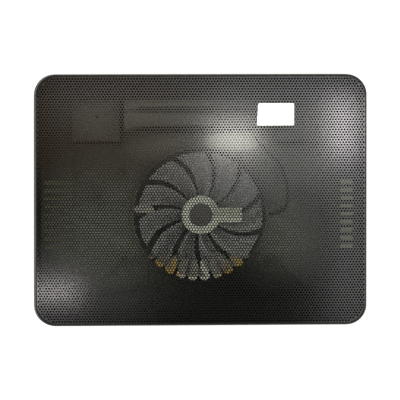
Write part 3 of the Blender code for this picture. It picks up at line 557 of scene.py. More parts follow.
# Bright drawn steel: fine lathe grain and a clean reflection.
BRIGHT_STEEL = Finish(
    name="bright_drawn_steel",
    slot=Slot.BRIGHT_STEEL,
    tone="c3c3c1",
    second_tone="aeb0b1",
    drift_mm=5.0,
    grain_mm=0.2,
    grain_height_mm=0.004,
    roughness=0.30,
    roughness_spread=0.08,
    metallic=1.0,
)
# Pressed ferrite: dull dark grey with a sandy grain.
GREY_FERRITE = Finish(
    name="pressed_ferrite",
    slot=Slot.GREY_FERRITE,
    tone="403e3b",
    second_tone="4b4845",
    drift_mm=4.0,
    grain_mm=0.3,
    grain_height_mm=0.02,
    roughness=0.68,
    roughness_spread=0.08,
)
# Sintered bronze: warm metal whose open pores break the gloss.
SINTERED_BRONZE = Finish(
    name="sintered_bronze",
    slot=Slot.SINTERED_BRONZE,
    tone="b08a52",
    second_tone="967140",
    drift_mm=2.0,
    grain_mm=0.15,
    grain_height_mm=0.015,
    roughness=0.5,
    roughness_spread=0.12,
    metallic=1.0,
)
# Copper wire under clear enamel, laid in turns of 0.25 mm.
ENAMELLED_COPPER = WoundWire(
    name="enamelled_copper_wire",
    slot=Slot.ENAMELLED_COPPER,
    tone="b4622f",
    second_tone="97491f",
    drift_mm=3.0,
    grain_mm=0.25,
    grain_height_mm=0.08,
    roughness=0.3,
    roughness_spread=0.08,
    metallic=1.0,
)
# Glass-fibre board under green solder mask: glossy, with the weave just showing, about 0.5 mm.
SOLDER_MASK = Finish(
    name="green_solder_mask",
    slot=Slot.GREEN_BOARD,
    tone="1f5a33",
    second_tone="17482a",
    drift_mm=2.5,
    grain_mm=0.5,
    grain_height_mm=0.006,
    roughness=0.35,
    roughness_spread=0.06,
)
# Moulded rubber: matt black with a dusty bloom in soft patches.
BLACK_RUBBER = Finish(
    name="moulded_black_rubber",
    slot=Slot.BLACK_RUBBER,
    tone="171716",
    second_tone="2a2927",
    drift_mm=5.0,
    grain_mm=0.35,
    grain_height_mm=0.03,
    roughness=0.78,
    roughness_spread=0.08,
)
# Backdrop paper of a photo studio: matt white with faint clouds.
BACKDROP_PAPER = LitPaper(
    name="white_backdrop_paper",
    slot=Slot.WHITE_BADGE,
    tone="cacac8",
    second_tone="c4c4c2",
    drift_mm=400.0,
    grain_mm=2.0,
    grain_height_mm=0.02,
    roughness=0.75,
    roughness_spread=0.05,
)
# Extruded PVC sleeve: smooth black with a soft gloss.
BLACK_PVC = Finish(
    name="extruded_black_pvc",
    slot=Slot.BLACK_PVC,
    tone="121212",
    second_tone="1d1c1b",
    drift_mm=6.0,
    grain_mm=0.5,
    grain_height_mm=0.01,
    roughness=0.40,
    roughness_spread=0.05,
)


# Mesh helpers


def mesh_from(
    name: str, points: np.ndarray, quads: np.ndarray, triangles: np.ndarray | None = None
) -> bpy.types.Mesh:
    """Puts arrays of points, quads and triangles into a mesh.

    Args:
        name: the mesh's name.
        points: an array of n by 3 places.
        quads: an array of faces with four corners.
        triangles: an array of faces with three corners.

    Returns:
        The new mesh.
    """
    if triangles is None:
        triangles = np.empty((0, 3), int)
    corners = np.concatenate([quads.ravel(), triangles.ravel()]).astype(np.int32)
    counts = np.concatenate([np.full(len(quads), 4), np.full(len(triangles), 3)])
    starts = np.concatenate([[0], np.cumsum(counts)[:-1]]).astype(np.int32)
    mesh = bpy.data.meshes.new(name)
    mesh.vertices.add(len(points))
    mesh.vertices.foreach_set("co", np.ascontiguousarray(points, np.float32).ravel())
    mesh.loops.add(len(corners))
    mesh.loops.foreach_set("vertex_index", corners)
    mesh.polygons.add(len(counts))
    mesh.polygons.foreach_set("loop_start", starts)
    mesh.update(calc_edges=True)
    return mesh


def close_seams(mesh: bpy.types.Mesh, turn_outward: bool = True) -> None:
    """Merges points that lie on each other, so that seams and poles close, and turns the faces outward.

    Args:
        mesh: the mesh to close, changed in place.
        turn_outward: whether the faces may point the wrong way before.
    """
    form = bmesh.new()
    form.from_mesh(mesh)
    bmesh.ops.remove_doubles(form, verts=form.verts, dist=SAME_POINT * 10)
    if turn_outward:
        bmesh.ops.recalc_face_normals(form, faces=form.faces)
    form.to_mesh(mesh)
    form.free()


def shade(mesh: bpy.types.Mesh, sharp_degrees: float = 35.0) -> None:
    """Shades a mesh smooth, apart from sharp edges.

    Args:
        mesh: the mesh to shade.
        sharp_degrees: an edge that turns more than this stays sharp.
    """
    mesh.shade_smooth()
    mesh.set_sharp_from_angle(angle=math.radians(sharp_degrees))


def wrapped_grid(rows: int, columns: int, wrap_rows: bool = False) -> np.ndarray:
    """Numbers the quads of a grid whose columns close on themselves.

    Args:
        rows: rows of points.
        columns: points in a row.
        wrap_rows: whether the last row joins the first.

    Returns:
        The quads as an array of point numbers.
    """
    row = np.arange(rows if wrap_rows else rows - 1)[:, None]
    column = np.arange(columns)[None, :]
    after = (row + 1) % rows
    beside = (column + 1) % columns
    here = row * columns
    there = after * columns
    quads = np.stack([here + column, here + beside, there + beside, there + column], axis=-1)
    return quads.reshape(-1, 4)


def turned(
    profile: Sequence[tuple[float, float]], centre: tuple[float, float], steps: int
) -> tuple[np.ndarray, np.ndarray]:
    """Turns a profile about an upright axis: each point's radius goes round a full circle at its height.

    Args:
        profile: radius and height of each point, in order.
        centre: x and y of the axis.
        steps: points in a circle.

    Returns:
        The points and the quads.
    """
    radius, height = np.array(profile, float).T
    angle = np.linspace(0.0, math.tau, steps, endpoint=False)
    x = centre[0] + radius[:, None] * np.cos(angle)
    y = centre[1] + radius[:, None] * np.sin(angle)
    z = np.broadcast_to(height[:, None], x.shape)
    return np.stack([x, y, z], axis=-1).reshape(-1, 3), wrapped_grid(len(profile), steps)


def rounded_corner(
    corner: tuple[float, float], start: float, stop: float, radius: float, steps: int
) -> list[tuple[float, float]]:
    """Walks along an arc about a centre.

    Args:
        corner: the arc's centre.
        start: the first angle in degrees.
        stop: the last angle in degrees.
        radius: the arc's radius.
        steps: steps along the arc.

    Returns:
        The arc's points.
    """
    angle = np.radians(np.linspace(start, stop, steps + 1))
    x = corner[0] + radius * np.cos(angle)
    y = corner[1] + radius * np.sin(angle)
    return list(zip(x.tolist(), y.tolist()))


def rounded_outline(half_width: float, half_depth: float, radius: float, steps: int) -> np.ndarray:
    """Walks round a rectangle with round corners, counter-clockwise from the right-hand side.

    Each corner is a quarter circle of the radius about a centre set in by the radius.

    Args:
        half_width: half of the size along X.
        half_depth: half of the size along Y.
        radius: the corners' radius.
        steps: steps in a corner.

    Returns:
        The points, n by 2.
    """
    quarter = np.linspace(0.0, 90.0, steps + 1)
    turn = np.radians(quarter + [[0.0], [90.0], [180.0], [270.0]])
    centre_x = (half_width - radius) * np.array([[1.0], [-1.0], [-1.0], [1.0]])
    centre_y = (half_depth - radius) * np.array([[1.0], [1.0], [-1.0], [-1.0]])
    x = centre_x + radius * np.cos(turn)
    y = centre_y + radius * np.sin(turn)
    return np.stack([x.ravel(), y.ravel()], axis=-1)


def place_piece(
    mesh: bpy.types.Mesh, body: Body, finish: Finish, stands_for: Sequence[str]
) -> bpy.types.Object:
    """Makes a piece of a mesh, dresses it, and lets it ride on its body in place of CAD nodes.

    Args:
        mesh: the finished mesh, whose name the piece takes.
        body: the body that carries the piece.
        finish: the piece's finish.
        stands_for: the CAD nodes that the piece replaces.

    Returns:
        The new object.
    """
    piece = bpy.data.objects.new(mesh.name, mesh)
    bpy.context.scene.collection.objects.link(piece)
    mesh.materials.append(finish.material())
    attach(piece, body.value)
    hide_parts(*stands_for)
    LOG.info("%s: %d faces, %s, on %s", piece.name, len(mesh.polygons), finish.name, body.value)
    return piece


def dress_node(node: str, finish: Finish) -> None:
    """Gives a CAD node that stays in view a procedural finish.

    Args:
        node: the node's name.
        finish: its finish.
    """
    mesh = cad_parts[node].data
    mesh.materials.clear()
    mesh.materials.append(finish.material())
    LOG.info("%s: CAD node, %s", node, finish.name)


def merged_copy(node: str, name: str) -> bpy.types.Mesh:
    """Copies a CAD node's mesh and merges the points that its triangles share.

    Args:
        node: the CAD node.
        name: the copy's name.

    Returns:
        The copy.
    """
    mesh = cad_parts[node].data.copy()
    mesh.name = name
    mesh.materials.clear()
    close_seams(mesh, turn_outward=False)
    return mesh


# The pad's sub-assemblies


@dataclass
class PerforatedPanel:
    """Lid of perforated sheet: a field of round holes, a plain border and an edge folded down all round."""

    pitch: float = 3.0 * MM
    hole_radius: float = 1.08 * MM
    sheet: float = 0.8 * MM
    fold_radius: float = 1.6 * MM
    corner_radius: float = 20.8 * MM
    corner_steps: int = 24
    fold_steps: int = 6
    strips: int = 4
    low: Vector = field(init=False)
    high: Vector = field(init=False)

    def __post_init__(self) -> None:
        """Takes the panel's outer sizes from its CAD node."""
        self.low, self.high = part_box("mesh_panel")

    @property
    def cell(self) -> float:
        """Centre to corner of the six-sided cell round a hole."""
        return self.pitch / math.sqrt(3.0)

    @property
    def rows(self) -> int:
        """Rows of cells that fit in the flat of the sheet."""
        flat = 2.0 * (self.high.y - self.fold_radius)
        return int((flat - 2.0 * self.cell) / (1.5 * self.cell)) + 1

    def outline(self, inset: float) -> np.ndarray:
        """The panel's outline drawn in by an inset."""
        half_width = self.high.x - inset
        half_depth = self.high.y - inset
        return rounded_outline(half_width, half_depth, self.corner_radius - inset, self.corner_steps)

    def places(self, keys: np.ndarray) -> np.ndarray:
        """Turns keys into x and y: half pitches along X, half cell corners along Y from the front row."""
        middle = 1.5 * (self.rows - 1)
        return (keys - [0.0, middle]) * [self.pitch / 2.0, self.cell / 2.0]

    def cell_keys(self) -> np.ndarray:
        """Finds the cells that fit whole in the flat of the sheet.

        Cells stand a pitch apart in rows, and each second row is shifted by half a pitch. A cell is kept
        where its bounding box lies inside the fold's round-cornered line.

        Returns:
            Whole-number keys of the cells' centres, n by 2, in rows from front to rear.
        """
        columns = int(self.high.x / self.pitch) + 1
        row = np.arange(self.rows)[:, None]
        column = np.arange(-columns, columns)[None, :]
        key_x = 2 * column + 1 - row % 2
        keys = np.stack([key_x, np.broadcast_to(3 * row, key_x.shape)], axis=-1).reshape(-1, 2)
        corner = self.corner_radius - self.fold_radius
        reach = np.abs(self.places(keys)) + [self.pitch / 2.0, self.cell]
        past = reach - [self.high.x - self.corner_radius, self.high.y - self.corner_radius]
        in_corner = np.hypot(*np.maximum(past, 0.0).T) <= corner
        return keys[in_corner & (past.max(axis=1) <= corner)]

    def corners(self, keys: np.ndarray) -> tuple[np.ndarray, np.ndarray, np.ndarray]:
        """Numbers the corners that neighbouring cells share, and finds the edges that only one cell has.

        Args:
            keys: the cells' keys.

        Returns:
            The corners' places, each cell's six corner numbers counter-clockwise, and the outer edges.
        """
        round_cell = np.array([(0, 2), (-1, 1), (-1, -1), (0, -2), (1, -1), (1, 1)])
        all_corners = (keys[:, None, :] + round_cell).reshape(-1, 2)
        shared, number = np.unique(all_corners, axis=0, return_inverse=True)
        number = number.reshape(-1, len(round_cell))
        edges = np.stack([number, np.roll(number, -1, axis=1)], axis=-1).reshape(-1, 2)
        _, first, uses = np.unique(np.sort(edges, axis=1), axis=0, return_index=True, return_counts=True)
        return self.places(shared), number, edges[first[uses == 1]]

    def strip_mesh(self, keys: np.ndarray, name: str) -> bpy.types.Mesh:
        """Builds a strip of the field as a closed skin.

        Each cell is a six-sided plate with a twelve-sided hole. A hole's rim has two points for each
        corner of its cell, 15 degrees to either side, so a triangle joins each corner to the rim and a quad
        each side.

        Args:
            keys: the strip's cells.
            name: the mesh's name.

        Returns:
            The strip's mesh.
        """
        shared, number, outer = self.corners(keys)
        turn = np.radians(90.0 + 60.0 * np.arange(6)[:, None] + [-15.0, 15.0]).ravel()
        circle = self.hole_radius * np.stack([np.cos(turn), np.sin(turn)], axis=-1)
        rims = self.places(keys)[:, None, :] + circle
        flat = np.concatenate([shared, rims.reshape(-1, 2)])
        layer = len(flat)
        top = np.column_stack([flat, np.full(layer, self.high.z)])
        under = np.column_stack([flat, np.full(layer, self.high.z - self.sheet)])

        rim = len(shared) + np.arange(rims.shape[0] * 12).reshape(-1, 6, 2)
        before, after = rim[..., 0], rim[..., 1]
        next_corner = np.roll(number, -1, axis=1)
        next_before = np.roll(before, -1, axis=1)
        sides = np.stack([number, next_corner, next_before, after], axis=-1).reshape(-1, 4)
        tips = np.stack([number, after, before], axis=-1).reshape(-1, 3)
        ring = rim.reshape(-1, 12)
        ring_next = np.roll(ring, -1, axis=1)
        bores = np.stack([ring, ring_next, ring_next + layer, ring + layer], axis=-1).reshape(-1, 4)
        start, stop = outer.T
        walls = np.stack([stop, start, start + layer, stop + layer], axis=-1)
        quads = np.concatenate([sides, sides[:, ::-1] + layer, bores, walls])
        triangles = np.concatenate([tips, tips[:, ::-1] + layer])
        return mesh_from(name, np.concatenate([top, under]), quads, triangles)

    def border_triangles(self, line: np.ndarray, edges: np.ndarray) -> tuple[np.ndarray, np.ndarray]:
        """Fills the flat border between the fold's line and the field's zigzag edge.

        All points are triangulated with the zigzag's edges kept. A triangle belongs to the field, and goes,
        where a ray from its middle crosses the zigzag an odd number of times.

        Args:
            line: places on the zigzag.
            edges: the zigzag's edges as pairs of numbers of those places.

        Returns:
            The places, n by 2, and the triangles.
        """
        fold = self.outline(self.fold_radius)
        given = [Vector(point) for point in np.concatenate([fold, line]).tolist()]
        kept_edges = (edges + len(fold)).tolist()
        found, _, triangles, *_ = delaunay_2d_cdt(given, kept_edges, [], 0, SAME_POINT)
        flat = np.array([tuple(point) for point in found])
        triangles = np.array(triangles)
        x, y = flat[triangles].mean(axis=1).T[:, :, None]
        x0, y0 = line[edges[:, 0]].T[:, None, :]
        x1, y1 = line[edges[:, 1]].T[:, None, :]
        spans = (y0 > y) != (y1 > y)
        rise = np.where(spans, y1 - y0, 1.0)
        crossed = spans & (x < x0 + (x1 - x0) * (y - y0) / rise)
        return flat, triangles[crossed.sum(axis=1) % 2 == 0]

    def edge_mesh(self, keys: np.ndarray, name: str) -> bpy.types.Mesh:
        """Builds the plain border with its folded edge as a closed skin.

        The fold is a profile of inset and height carried round the panel's outline: an outer quarter round,
        the straight skirt, and an inner quarter round that is smaller by the sheet's thickness.

        Args:
            keys: the cells of the whole field.
            name: the mesh's name.

        Returns:
            The border's mesh.
        """
        shared, _, outer = self.corners(keys)
        used, number = np.unique(outer, return_inverse=True)
        zigzag = number.reshape(-1, 2)
        line = shared[used]
        flat, triangles = self.border_triangles(line, zigzag)
        layer = len(flat)
        top_z, under_z = self.high.z, self.high.z - self.sheet
        top = np.column_stack([flat, np.full(layer, top_z)])
        under = np.column_stack([flat, np.full(layer, under_z)])
        faces = [triangles, triangles[:, ::-1] + layer]

        turn = np.radians(np.linspace(0.0, 90.0, self.fold_steps + 1))
        small = self.fold_radius - self.sheet
        bend_z = top_z - self.fold_radius
        outside_z = bend_z + self.fold_radius * np.cos(turn)
        outside = np.stack([self.fold_radius * (1 - np.sin(turn)), outside_z], axis=-1)
        inside = np.stack([self.fold_radius - small * np.sin(turn), bend_z + small * np.cos(turn)], axis=-1)
        skirt = [(0.0, self.low.z), (self.sheet, self.low.z)]
        profile = np.concatenate([outside, skirt, inside[::-1]])
        rings = [np.insert(self.outline(inset), 2, height, axis=1) for inset, height in profile]
        fold_quads = wrapped_grid(len(profile), len(rings[0])) + 2 * layer

        wall_first = 2 * layer + len(profile) * len(rings[0])
        posts = np.concatenate([np.insert(line, 2, top_z, axis=1), np.insert(line, 2, under_z, axis=1)])
        start, stop = zigzag.T + wall_first
        walls = np.stack([start, stop, stop + len(line), start + len(line)], axis=-1)
        points = np.concatenate([top, under, *rings, posts])
        mesh = mesh_from(name, points, np.concatenate([fold_quads, walls]), np.concatenate(faces))
        close_seams(mesh)
        return mesh

    def build(self) -> list[bpy.types.Object]:
        """Builds the strips of the field and the border, all in place of the coarse CAD panel.

        Returns:
            The panel's pieces.
        """
        keys = self.cell_keys()
        bands = np.array_split(np.arange(self.rows), self.strips)
        meshes = []
        for count, band in enumerate(bands, start=1):
            in_band = np.isin(keys[:, 1] // 3, band)
            meshes.append(self.strip_mesh(keys[in_band], f"panel_sheet_{count}"))
        meshes.append(self.edge_mesh(keys, "panel_folded_edge"))
        pieces = []
        for mesh in meshes:
            shade(mesh)
            pieces.append(place_piece(mesh, Body.BASE, POWDER_COAT, ["mesh_panel"]))
        return pieces


@dataclass
class Badge:
    """Bare white plate at the panel's rear right, with a leaning left end and softly rounded edges."""

    corner_radius: float = 1.2 * MM
    corner_steps: int = 10
    lean: float = 1.6 * MM
    edge_round: float = 0.2 * MM
    edge_steps: int = 4
    rings: int = 4

    def build(self) -> bpy.types.Object:
        """Carries the plate's outline inward over its edge round and top, and closes it below.

        The outline is a round-cornered rectangle whose left half is pushed in by the lean, in proportion
        to the distance from the right end and to the height in plan.

        Returns:
            The plate.
        """
        low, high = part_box("badge_plate")
        middle = (low + high) / 2
        half = (high - low) / 2
        outline = rounded_outline(half.x, half.y, self.corner_radius, self.corner_steps)
        across = (half.x - outline[:, 0]) / (2 * half.x)
        up = (outline[:, 1] + half.y) / (2 * half.y)
        outline[:, 0] += self.lean * across * up
        turn = np.radians(np.linspace(0.0, 90.0, self.edge_steps + 1))
        edge_z = high.z - self.edge_round * (1 - np.sin(turn))
        edge = np.stack([self.edge_round * (1 - np.cos(turn)), edge_z], axis=-1)
        shrink = np.concatenate([[0.0, 0.0], edge[:, 0] / half.y, np.linspace(0.25, 1.0, self.rings)])
        shrink[0] = 1.0
        height = np.concatenate([[low.z, low.z], edge[:, 1], np.full(self.rings, high.z)])
        rings = outline[None] * (1.0 - shrink)[:, None, None]
        z = np.broadcast_to(height[:, None, None], (*rings.shape[:2], 1))
        points = np.concatenate([rings + [middle.x, middle.y], z], axis=-1).reshape(-1, 3)
        mesh = mesh_from("white_badge_plate", points, wrapped_grid(len(shrink), len(outline)))
        close_seams(mesh)
        shade(mesh)
        return place_piece(mesh, Body.BASE, WHITE_LACQUER, ["badge_plate"])


@dataclass
class Tray:
    """Moulded tray with its guard, vents, wells, bay and posts, kept in its CAD shape."""

    def build(self) -> None:
        """Smooths a merged copy of the tray, so that round edges shade as round."""
        mesh = merged_copy("base_tray", "moulded_tray")
        shade(mesh)
        place_piece(mesh, Body.BASE, DUST_AND_LIGHT_ABS, ["base_tray"])


@dataclass
class FanRotor:
    """Hub cap with eleven swept blades and a bare label, all turning together."""

    hub_radius: float = 20.0 * MM
    hub_wall: float = 1.8 * MM
    hub_plate: float = 1.5 * MM
    hub_round: float = 0.8 * MM
    hub_low: float = 9.5 * MM
    hub_high: float = 21.2 * MM
    boss_radius: float = 3.4 * MM
    boss_low: float = 18.0 * MM
    tip_radius: float = 63.5 * MM
    root_sink: float = 0.9 * MM
    blades: int = 11
    first_degrees: float = 16.0
    chord_degrees: float = 26.5
    sweep_degrees: float = 18.0
    sweep_power: float = 1.8
    blade_thick: float = 1.2 * MM
    root_rise: float = 8.5 * MM
    tip_rise: float = 7.5 * MM
    span_steps: int = 28
    section_steps: int = 36
    turn_steps: int = 96
    label_tail_half: float = 7.35 * MM
    label_tail: float = 42.0 * MM
    label_radius: float = 19.5 * MM
    label_window: float = 12.6 * MM
    label_rim: float = 0.8 * MM
    centre: tuple[float, float] = field(init=False)

    def __post_init__(self) -> None:
        """Takes the fan's axis from the yoke, which is round about it."""
        low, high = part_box("rotor_yoke")
        middle = (low + high) / 2
        self.centre = (middle.x, middle.y)

    def hub_mesh(self) -> bpy.types.Mesh:
        """Turns the hub: a cap with a rounded shoulder, a wall that is open below and a boss for the shaft.

        Returns:
            The hub's mesh.
        """
        shoulder_centre = (self.hub_radius - self.hub_round, self.hub_high - self.hub_round)
        shoulder = rounded_corner(shoulder_centre, 90.0, 0.0, self.hub_round, 6)
        inner = self.hub_radius - self.hub_wall
        plate_low = self.hub_high - self.hub_plate
        profile = [
            (0.0, self.hub_high),
            *shoulder,
            (self.hub_radius, self.hub_low),
            (inner, self.hub_low),
            (inner, plate_low),
            (self.boss_radius, plate_low),
            (self.boss_radius, self.boss_low),
            (0.0, self.boss_low),
        ]
        mesh = mesh_from("fan_hub", *turned(profile, self.centre, self.turn_steps))
        close_seams(mesh)
        return mesh

    def blades_mesh(self) -> bpy.types.Mesh:
        """Builds all blades as swept, twisted sections from the hub's wall to the tip.

        Along a blade, its share s runs from root to tip. The section turns by the sweep times s to a
        power, and is a thin superellipse across the chord, whose middle falls by a sine from trailing to
        leading edge.
        The section's thickness closes to nothing at both ends.

        Returns:
            The blades' mesh.
        """
        share = np.linspace(0.0, 1.0, self.span_steps + 1)[:, None]
        around = np.linspace(0.0, math.tau, self.section_steps, endpoint=False)[None, :]
        root = self.hub_radius - self.root_sink
        radius = root + (self.tip_radius - root) * share
        chord = 0.5 * np.cos(around)
        skin = np.sign(np.sin(around)) * np.abs(np.sin(around)) ** 0.35
        ends = np.minimum(share, 1.0 - share) * (self.tip_radius - root)
        to_end = (1.0 - ends / (self.blade_thick / 2.0)).clip(0.0, 1.0)
        fullness = np.sqrt(np.clip(1.0 - to_end**2, 0.0, 1.0))
        rise = self.root_rise + (self.tip_rise - self.root_rise) * share
        middle = (self.hub_low + self.hub_high - self.hub_round) / 2.0
        height = middle - rise * np.sin(math.pi * chord) / 2.0 + skin * fullness * self.blade_thick / 2.0
        sweep = np.radians(self.sweep_degrees) * share**self.sweep_power
        turn = sweep + np.radians(self.chord_degrees) * chord
        round_hub = math.tau * np.arange(self.blades)[:, None, None] / self.blades
        places = np.radians(self.first_degrees) + round_hub
        x = self.centre[0] + radius * np.cos(turn + places)
        y = self.centre[1] + radius * np.sin(turn + places)
        points = np.stack([x, y, np.broadcast_to(height, x.shape)], axis=-1).reshape(-1, 3)
        one = wrapped_grid(self.span_steps + 1, self.section_steps)
        first = np.arange(self.blades)[:, None, None] * ((self.span_steps + 1) * self.section_steps)
        mesh = mesh_from("fan_blades", points, (one + first).reshape(-1, 4))
        close_seams(mesh)
        return mesh

    def label_outline(self, steps: int) -> np.ndarray:
        """Walks round the label, a disc with a straight tail along +X, at even turns about the axis.

        A ray meets the disc at its radius, or the tail where that reaches further: the tail ends at its
        length over the cosine, and its sides lie at its half width over the sine.

        Args:
            steps: points round the label.

        Returns:
            The points about the axis, n by 2.
        """
        corner = math.atan2(self.label_tail_half, self.label_tail)
        joint = math.asin(self.label_tail_half / self.label_radius)
        side = np.linspace(corner, joint, steps // 6)
        disc = np.linspace(joint, math.tau - joint, steps)[1:-1]
        turn = np.concatenate([side, disc, math.tau - side[::-1]])
        half = self.label_tail_half / np.maximum(np.abs(np.sin(turn)), SAME_POINT)
        tail = np.minimum(half, self.label_tail / np.maximum(np.cos(turn), SAME_POINT))
        in_tail = (np.cos(turn) > 0.0) & (tail > self.label_radius)
        radius = np.where(in_tail, tail, self.label_radius)
        return radius[:, None] * np.stack([np.cos(turn), np.sin(turn)], axis=-1)

    def film_mesh(self, low: float, high: float) -> bpy.types.Mesh:
        """Spans the pale film between the label's outline and its round window, over and under.

        Args:
            low: the film's underside.
            high: its top.

        Returns:
            The film's mesh.
        """
        outline = self.label_outline(120)
        reach = np.hypot(*outline.T)[:, None]
        window = outline / reach * self.label_window
        rings = np.stack([outline, outline, window, window])
        z = np.array([low, high, high, low])[:, None, None]
        points = np.concatenate([rings + self.centre, np.broadcast_to(z, (*rings.shape[:2], 1))], axis=-1)
        mesh = mesh_from("label_film", points.reshape(-1, 3), wrapped_grid(4, len(outline), wrap_rows=True))
        close_seams(mesh)
        return mesh

    def window_mesh(self, low: float, high: float) -> bpy.types.Mesh:
        """Turns the dark disc in the label's window, slightly dished.

        Args:
            low: the disc's underside.
            high: its top at the edge.

        Returns:
            The disc's mesh.
        """
        edge = self.label_window - self.label_rim
        dish = (low + high) / 2.0
        profile = [
            (0.0, low),
            (edge, low),
            (edge, high),
            (0.7 * edge, dish),
            (0.3 * edge, dish),
            (0.0, dish),
        ]
        mesh = mesh_from("label_window", *turned(profile, self.centre, self.turn_steps))
        close_seams(mesh)
        return mesh

    def rim_mesh(self, low: float, high: float) -> bpy.types.Mesh:
        """Turns the thin bright ring between the film and the dark disc.

        Args:
            low: the ring's underside.
            high: its crown.

        Returns:
            The ring's mesh.
        """
        inner = self.label_window - self.label_rim
        crown = (inner + self.label_window) / 2.0
        shoulder = (low + high) / 2.0
        outer = self.label_window
        profile = [(inner, low), (outer, low), (outer, shoulder), (crown, high), (inner, shoulder)]
        points, _ = turned(profile, self.centre, self.turn_steps)
        mesh = mesh_from("label_rim", points, wrapped_grid(len(profile), self.turn_steps, wrap_rows=True))
        close_seams(mesh)
        return mesh

    def build(self) -> None:
        """Builds the hub, the blades and the label's pieces."""
        for mesh in (self.hub_mesh(), self.blades_mesh()):
            shade(mesh)
            place_piece(mesh, Body.ROTOR, SMOKY_STYRENE, ["fan_rotor"])
        low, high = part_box("hub_label")
        for mesh, finish in (
            (self.film_mesh(low.z, high.z), PALE_PAPER),
            (self.window_mesh(low.z, high.z), DARK_PAPER),
            (self.rim_mesh(low.z, high.z), BRIGHT_STEEL),
        ):
            shade(mesh)
            place_piece(mesh, Body.ROTOR, finish, ["hub_label"])


@dataclass
class Motor:
    """What hides in the hub, and its screws: CAD nodes in their own shape, each with its finish."""

    coils: int = 4
    screws: int = 3

    def build(self) -> None:
        """Dresses each node of the motor."""
        finishes = {
            "rotor_yoke": BRIGHT_STEEL,
            "ring_magnet": GREY_FERRITE,
            "rotor_shaft": BRIGHT_STEEL,
            "shaft_clip": BRIGHT_STEEL,
            "bearing_sleeve": SINTERED_BRONZE,
            "motor_base": MOULDED_ABS,
            "stator_core": BRIGHT_STEEL,
            "motor_board": SOLDER_MASK,
        }
        finishes |= {f"stator_coil_{number + 1}": ENAMELLED_COPPER for number in range(self.coils)}
        finishes |= {f"motor_screw_{number + 1}": BRIGHT_STEEL for number in range(self.screws)}
        for node, finish in finishes.items():
            dress_node(node, finish)


@dataclass
class FanLead:
    """Two thin cores twisted together, lying along the tray's floor from the gland to the motor."""

    core_radius: float = 0.56 * MM
    twist_pitch: float = 11.0 * MM
    step: float = 0.8 * MM
    core_steps: int = 10
    route_mm: tuple[tuple[float, float, float], ...] = (
        (57.5, 69.0, 9.5),
        (57.5, 65.0, 9.5),
        (61.5, 57.0, 7.5),
        (72.5, 46.0, 6.5),
        (85.45, 31.97, 6.5),
        (91.0, 6.6, 6.5),
        (88.0, -9.4, 6.5),
        (78.0, -14.9, 6.5),
        (66.0, -15.4, 6.5),
        (45.0, -15.4, 6.5),
        (32.0, -15.4, 6.7),
        (25.5, -15.4, 8.0),
        (19.3, -15.4, 8.0),
        (15.3, -15.4, 8.0),
    )

    def path(self) -> np.ndarray:
        """Runs a smooth curve through the route's points, at even steps.

        Between two points p1 and p2, with p0 before and p3 behind, the curve is the cubic that leaves p1
        along p2 - p0 and reaches p2 along p3 - p1.

        Returns:
            The places, n by 3.
        """
        knots = np.array(self.route_mm) * MM
        padded = np.concatenate([2 * knots[:1] - knots[1:2], knots, 2 * knots[-1:] - knots[-2:-1]])
        p0, p1, p2, p3 = (padded[k : len(padded) - 3 + k, None, :] for k in range(4))
        t = np.linspace(0.0, 1.0, 24, endpoint=False)[None, :, None]
        bend = 2 * p0 - 5 * p1 + 4 * p2 - p3
        twist = 3 * p1 - p0 - 3 * p2 + p3
        dense = (p1 + 0.5 * t * (p2 - p0 + t * (bend + t * twist))).reshape(-1, 3)
        dense = np.concatenate([dense, knots[-1:]])
        run = np.concatenate([[0.0], np.cumsum(np.linalg.norm(np.diff(dense, axis=0), axis=1))])
        even = np.linspace(0.0, run[-1], int(run[-1] / self.step) + 1)
        return np.stack([np.interp(even, run, dense[:, axis]) for axis in range(3)], axis=-1)

    def core_mesh(self, name: str, start_turn: float) -> bpy.types.Mesh:
        """Carries a circle along one strand of the twist.

        A strand lies a core's radius from the path, turned about it by the run over the twist's pitch.

        Args:
            name: the mesh's name.
            start_turn: the strand's angle at the gland.

        Returns:
            The core's mesh, with closed ends.
        """
        path = self.path()
        along = np.gradient(path, axis=0)
        along /= np.linalg.norm(along, axis=1, keepdims=True)
        side = np.cross(along, [0.0, 0.0, 1.0])
        side /= np.linalg.norm(side, axis=1, keepdims=True)
        up = np.cross(side, along)
        run = np.arange(len(path)) * self.step
        turn = (start_turn + math.tau * run / self.twist_pitch)[:, None]
        strand = path + self.core_radius * (side * np.cos(turn) + up * np.sin(turn))
        around = np.linspace(0.0, math.tau, self.core_steps, endpoint=False)
        circle = side[:, None] * np.cos(around)[:, None] + up[:, None] * np.sin(around)[:, None]
        skin = strand[:, None] + self.core_radius * circle
        ends = np.broadcast_to(strand[[0, -1], None], (2, *skin.shape[1:]))
        points = np.concatenate([ends[:1], skin, ends[1:]])
        mesh = mesh_from(name, points.reshape(-1, 3), wrapped_grid(len(points), self.core_steps))
        close_seams(mesh)
        return mesh

    def build(self) -> None:
        """Builds both cores in place of the lead's plain solid."""
        for name, start_turn in (("fan_lead_core_1", 0.0), ("fan_lead_core_2", math.pi)):
            mesh = self.core_mesh(name, start_turn)
            shade(mesh)
            place_piece(mesh, Body.BASE, BLACK_PVC, ["fan_lead"])


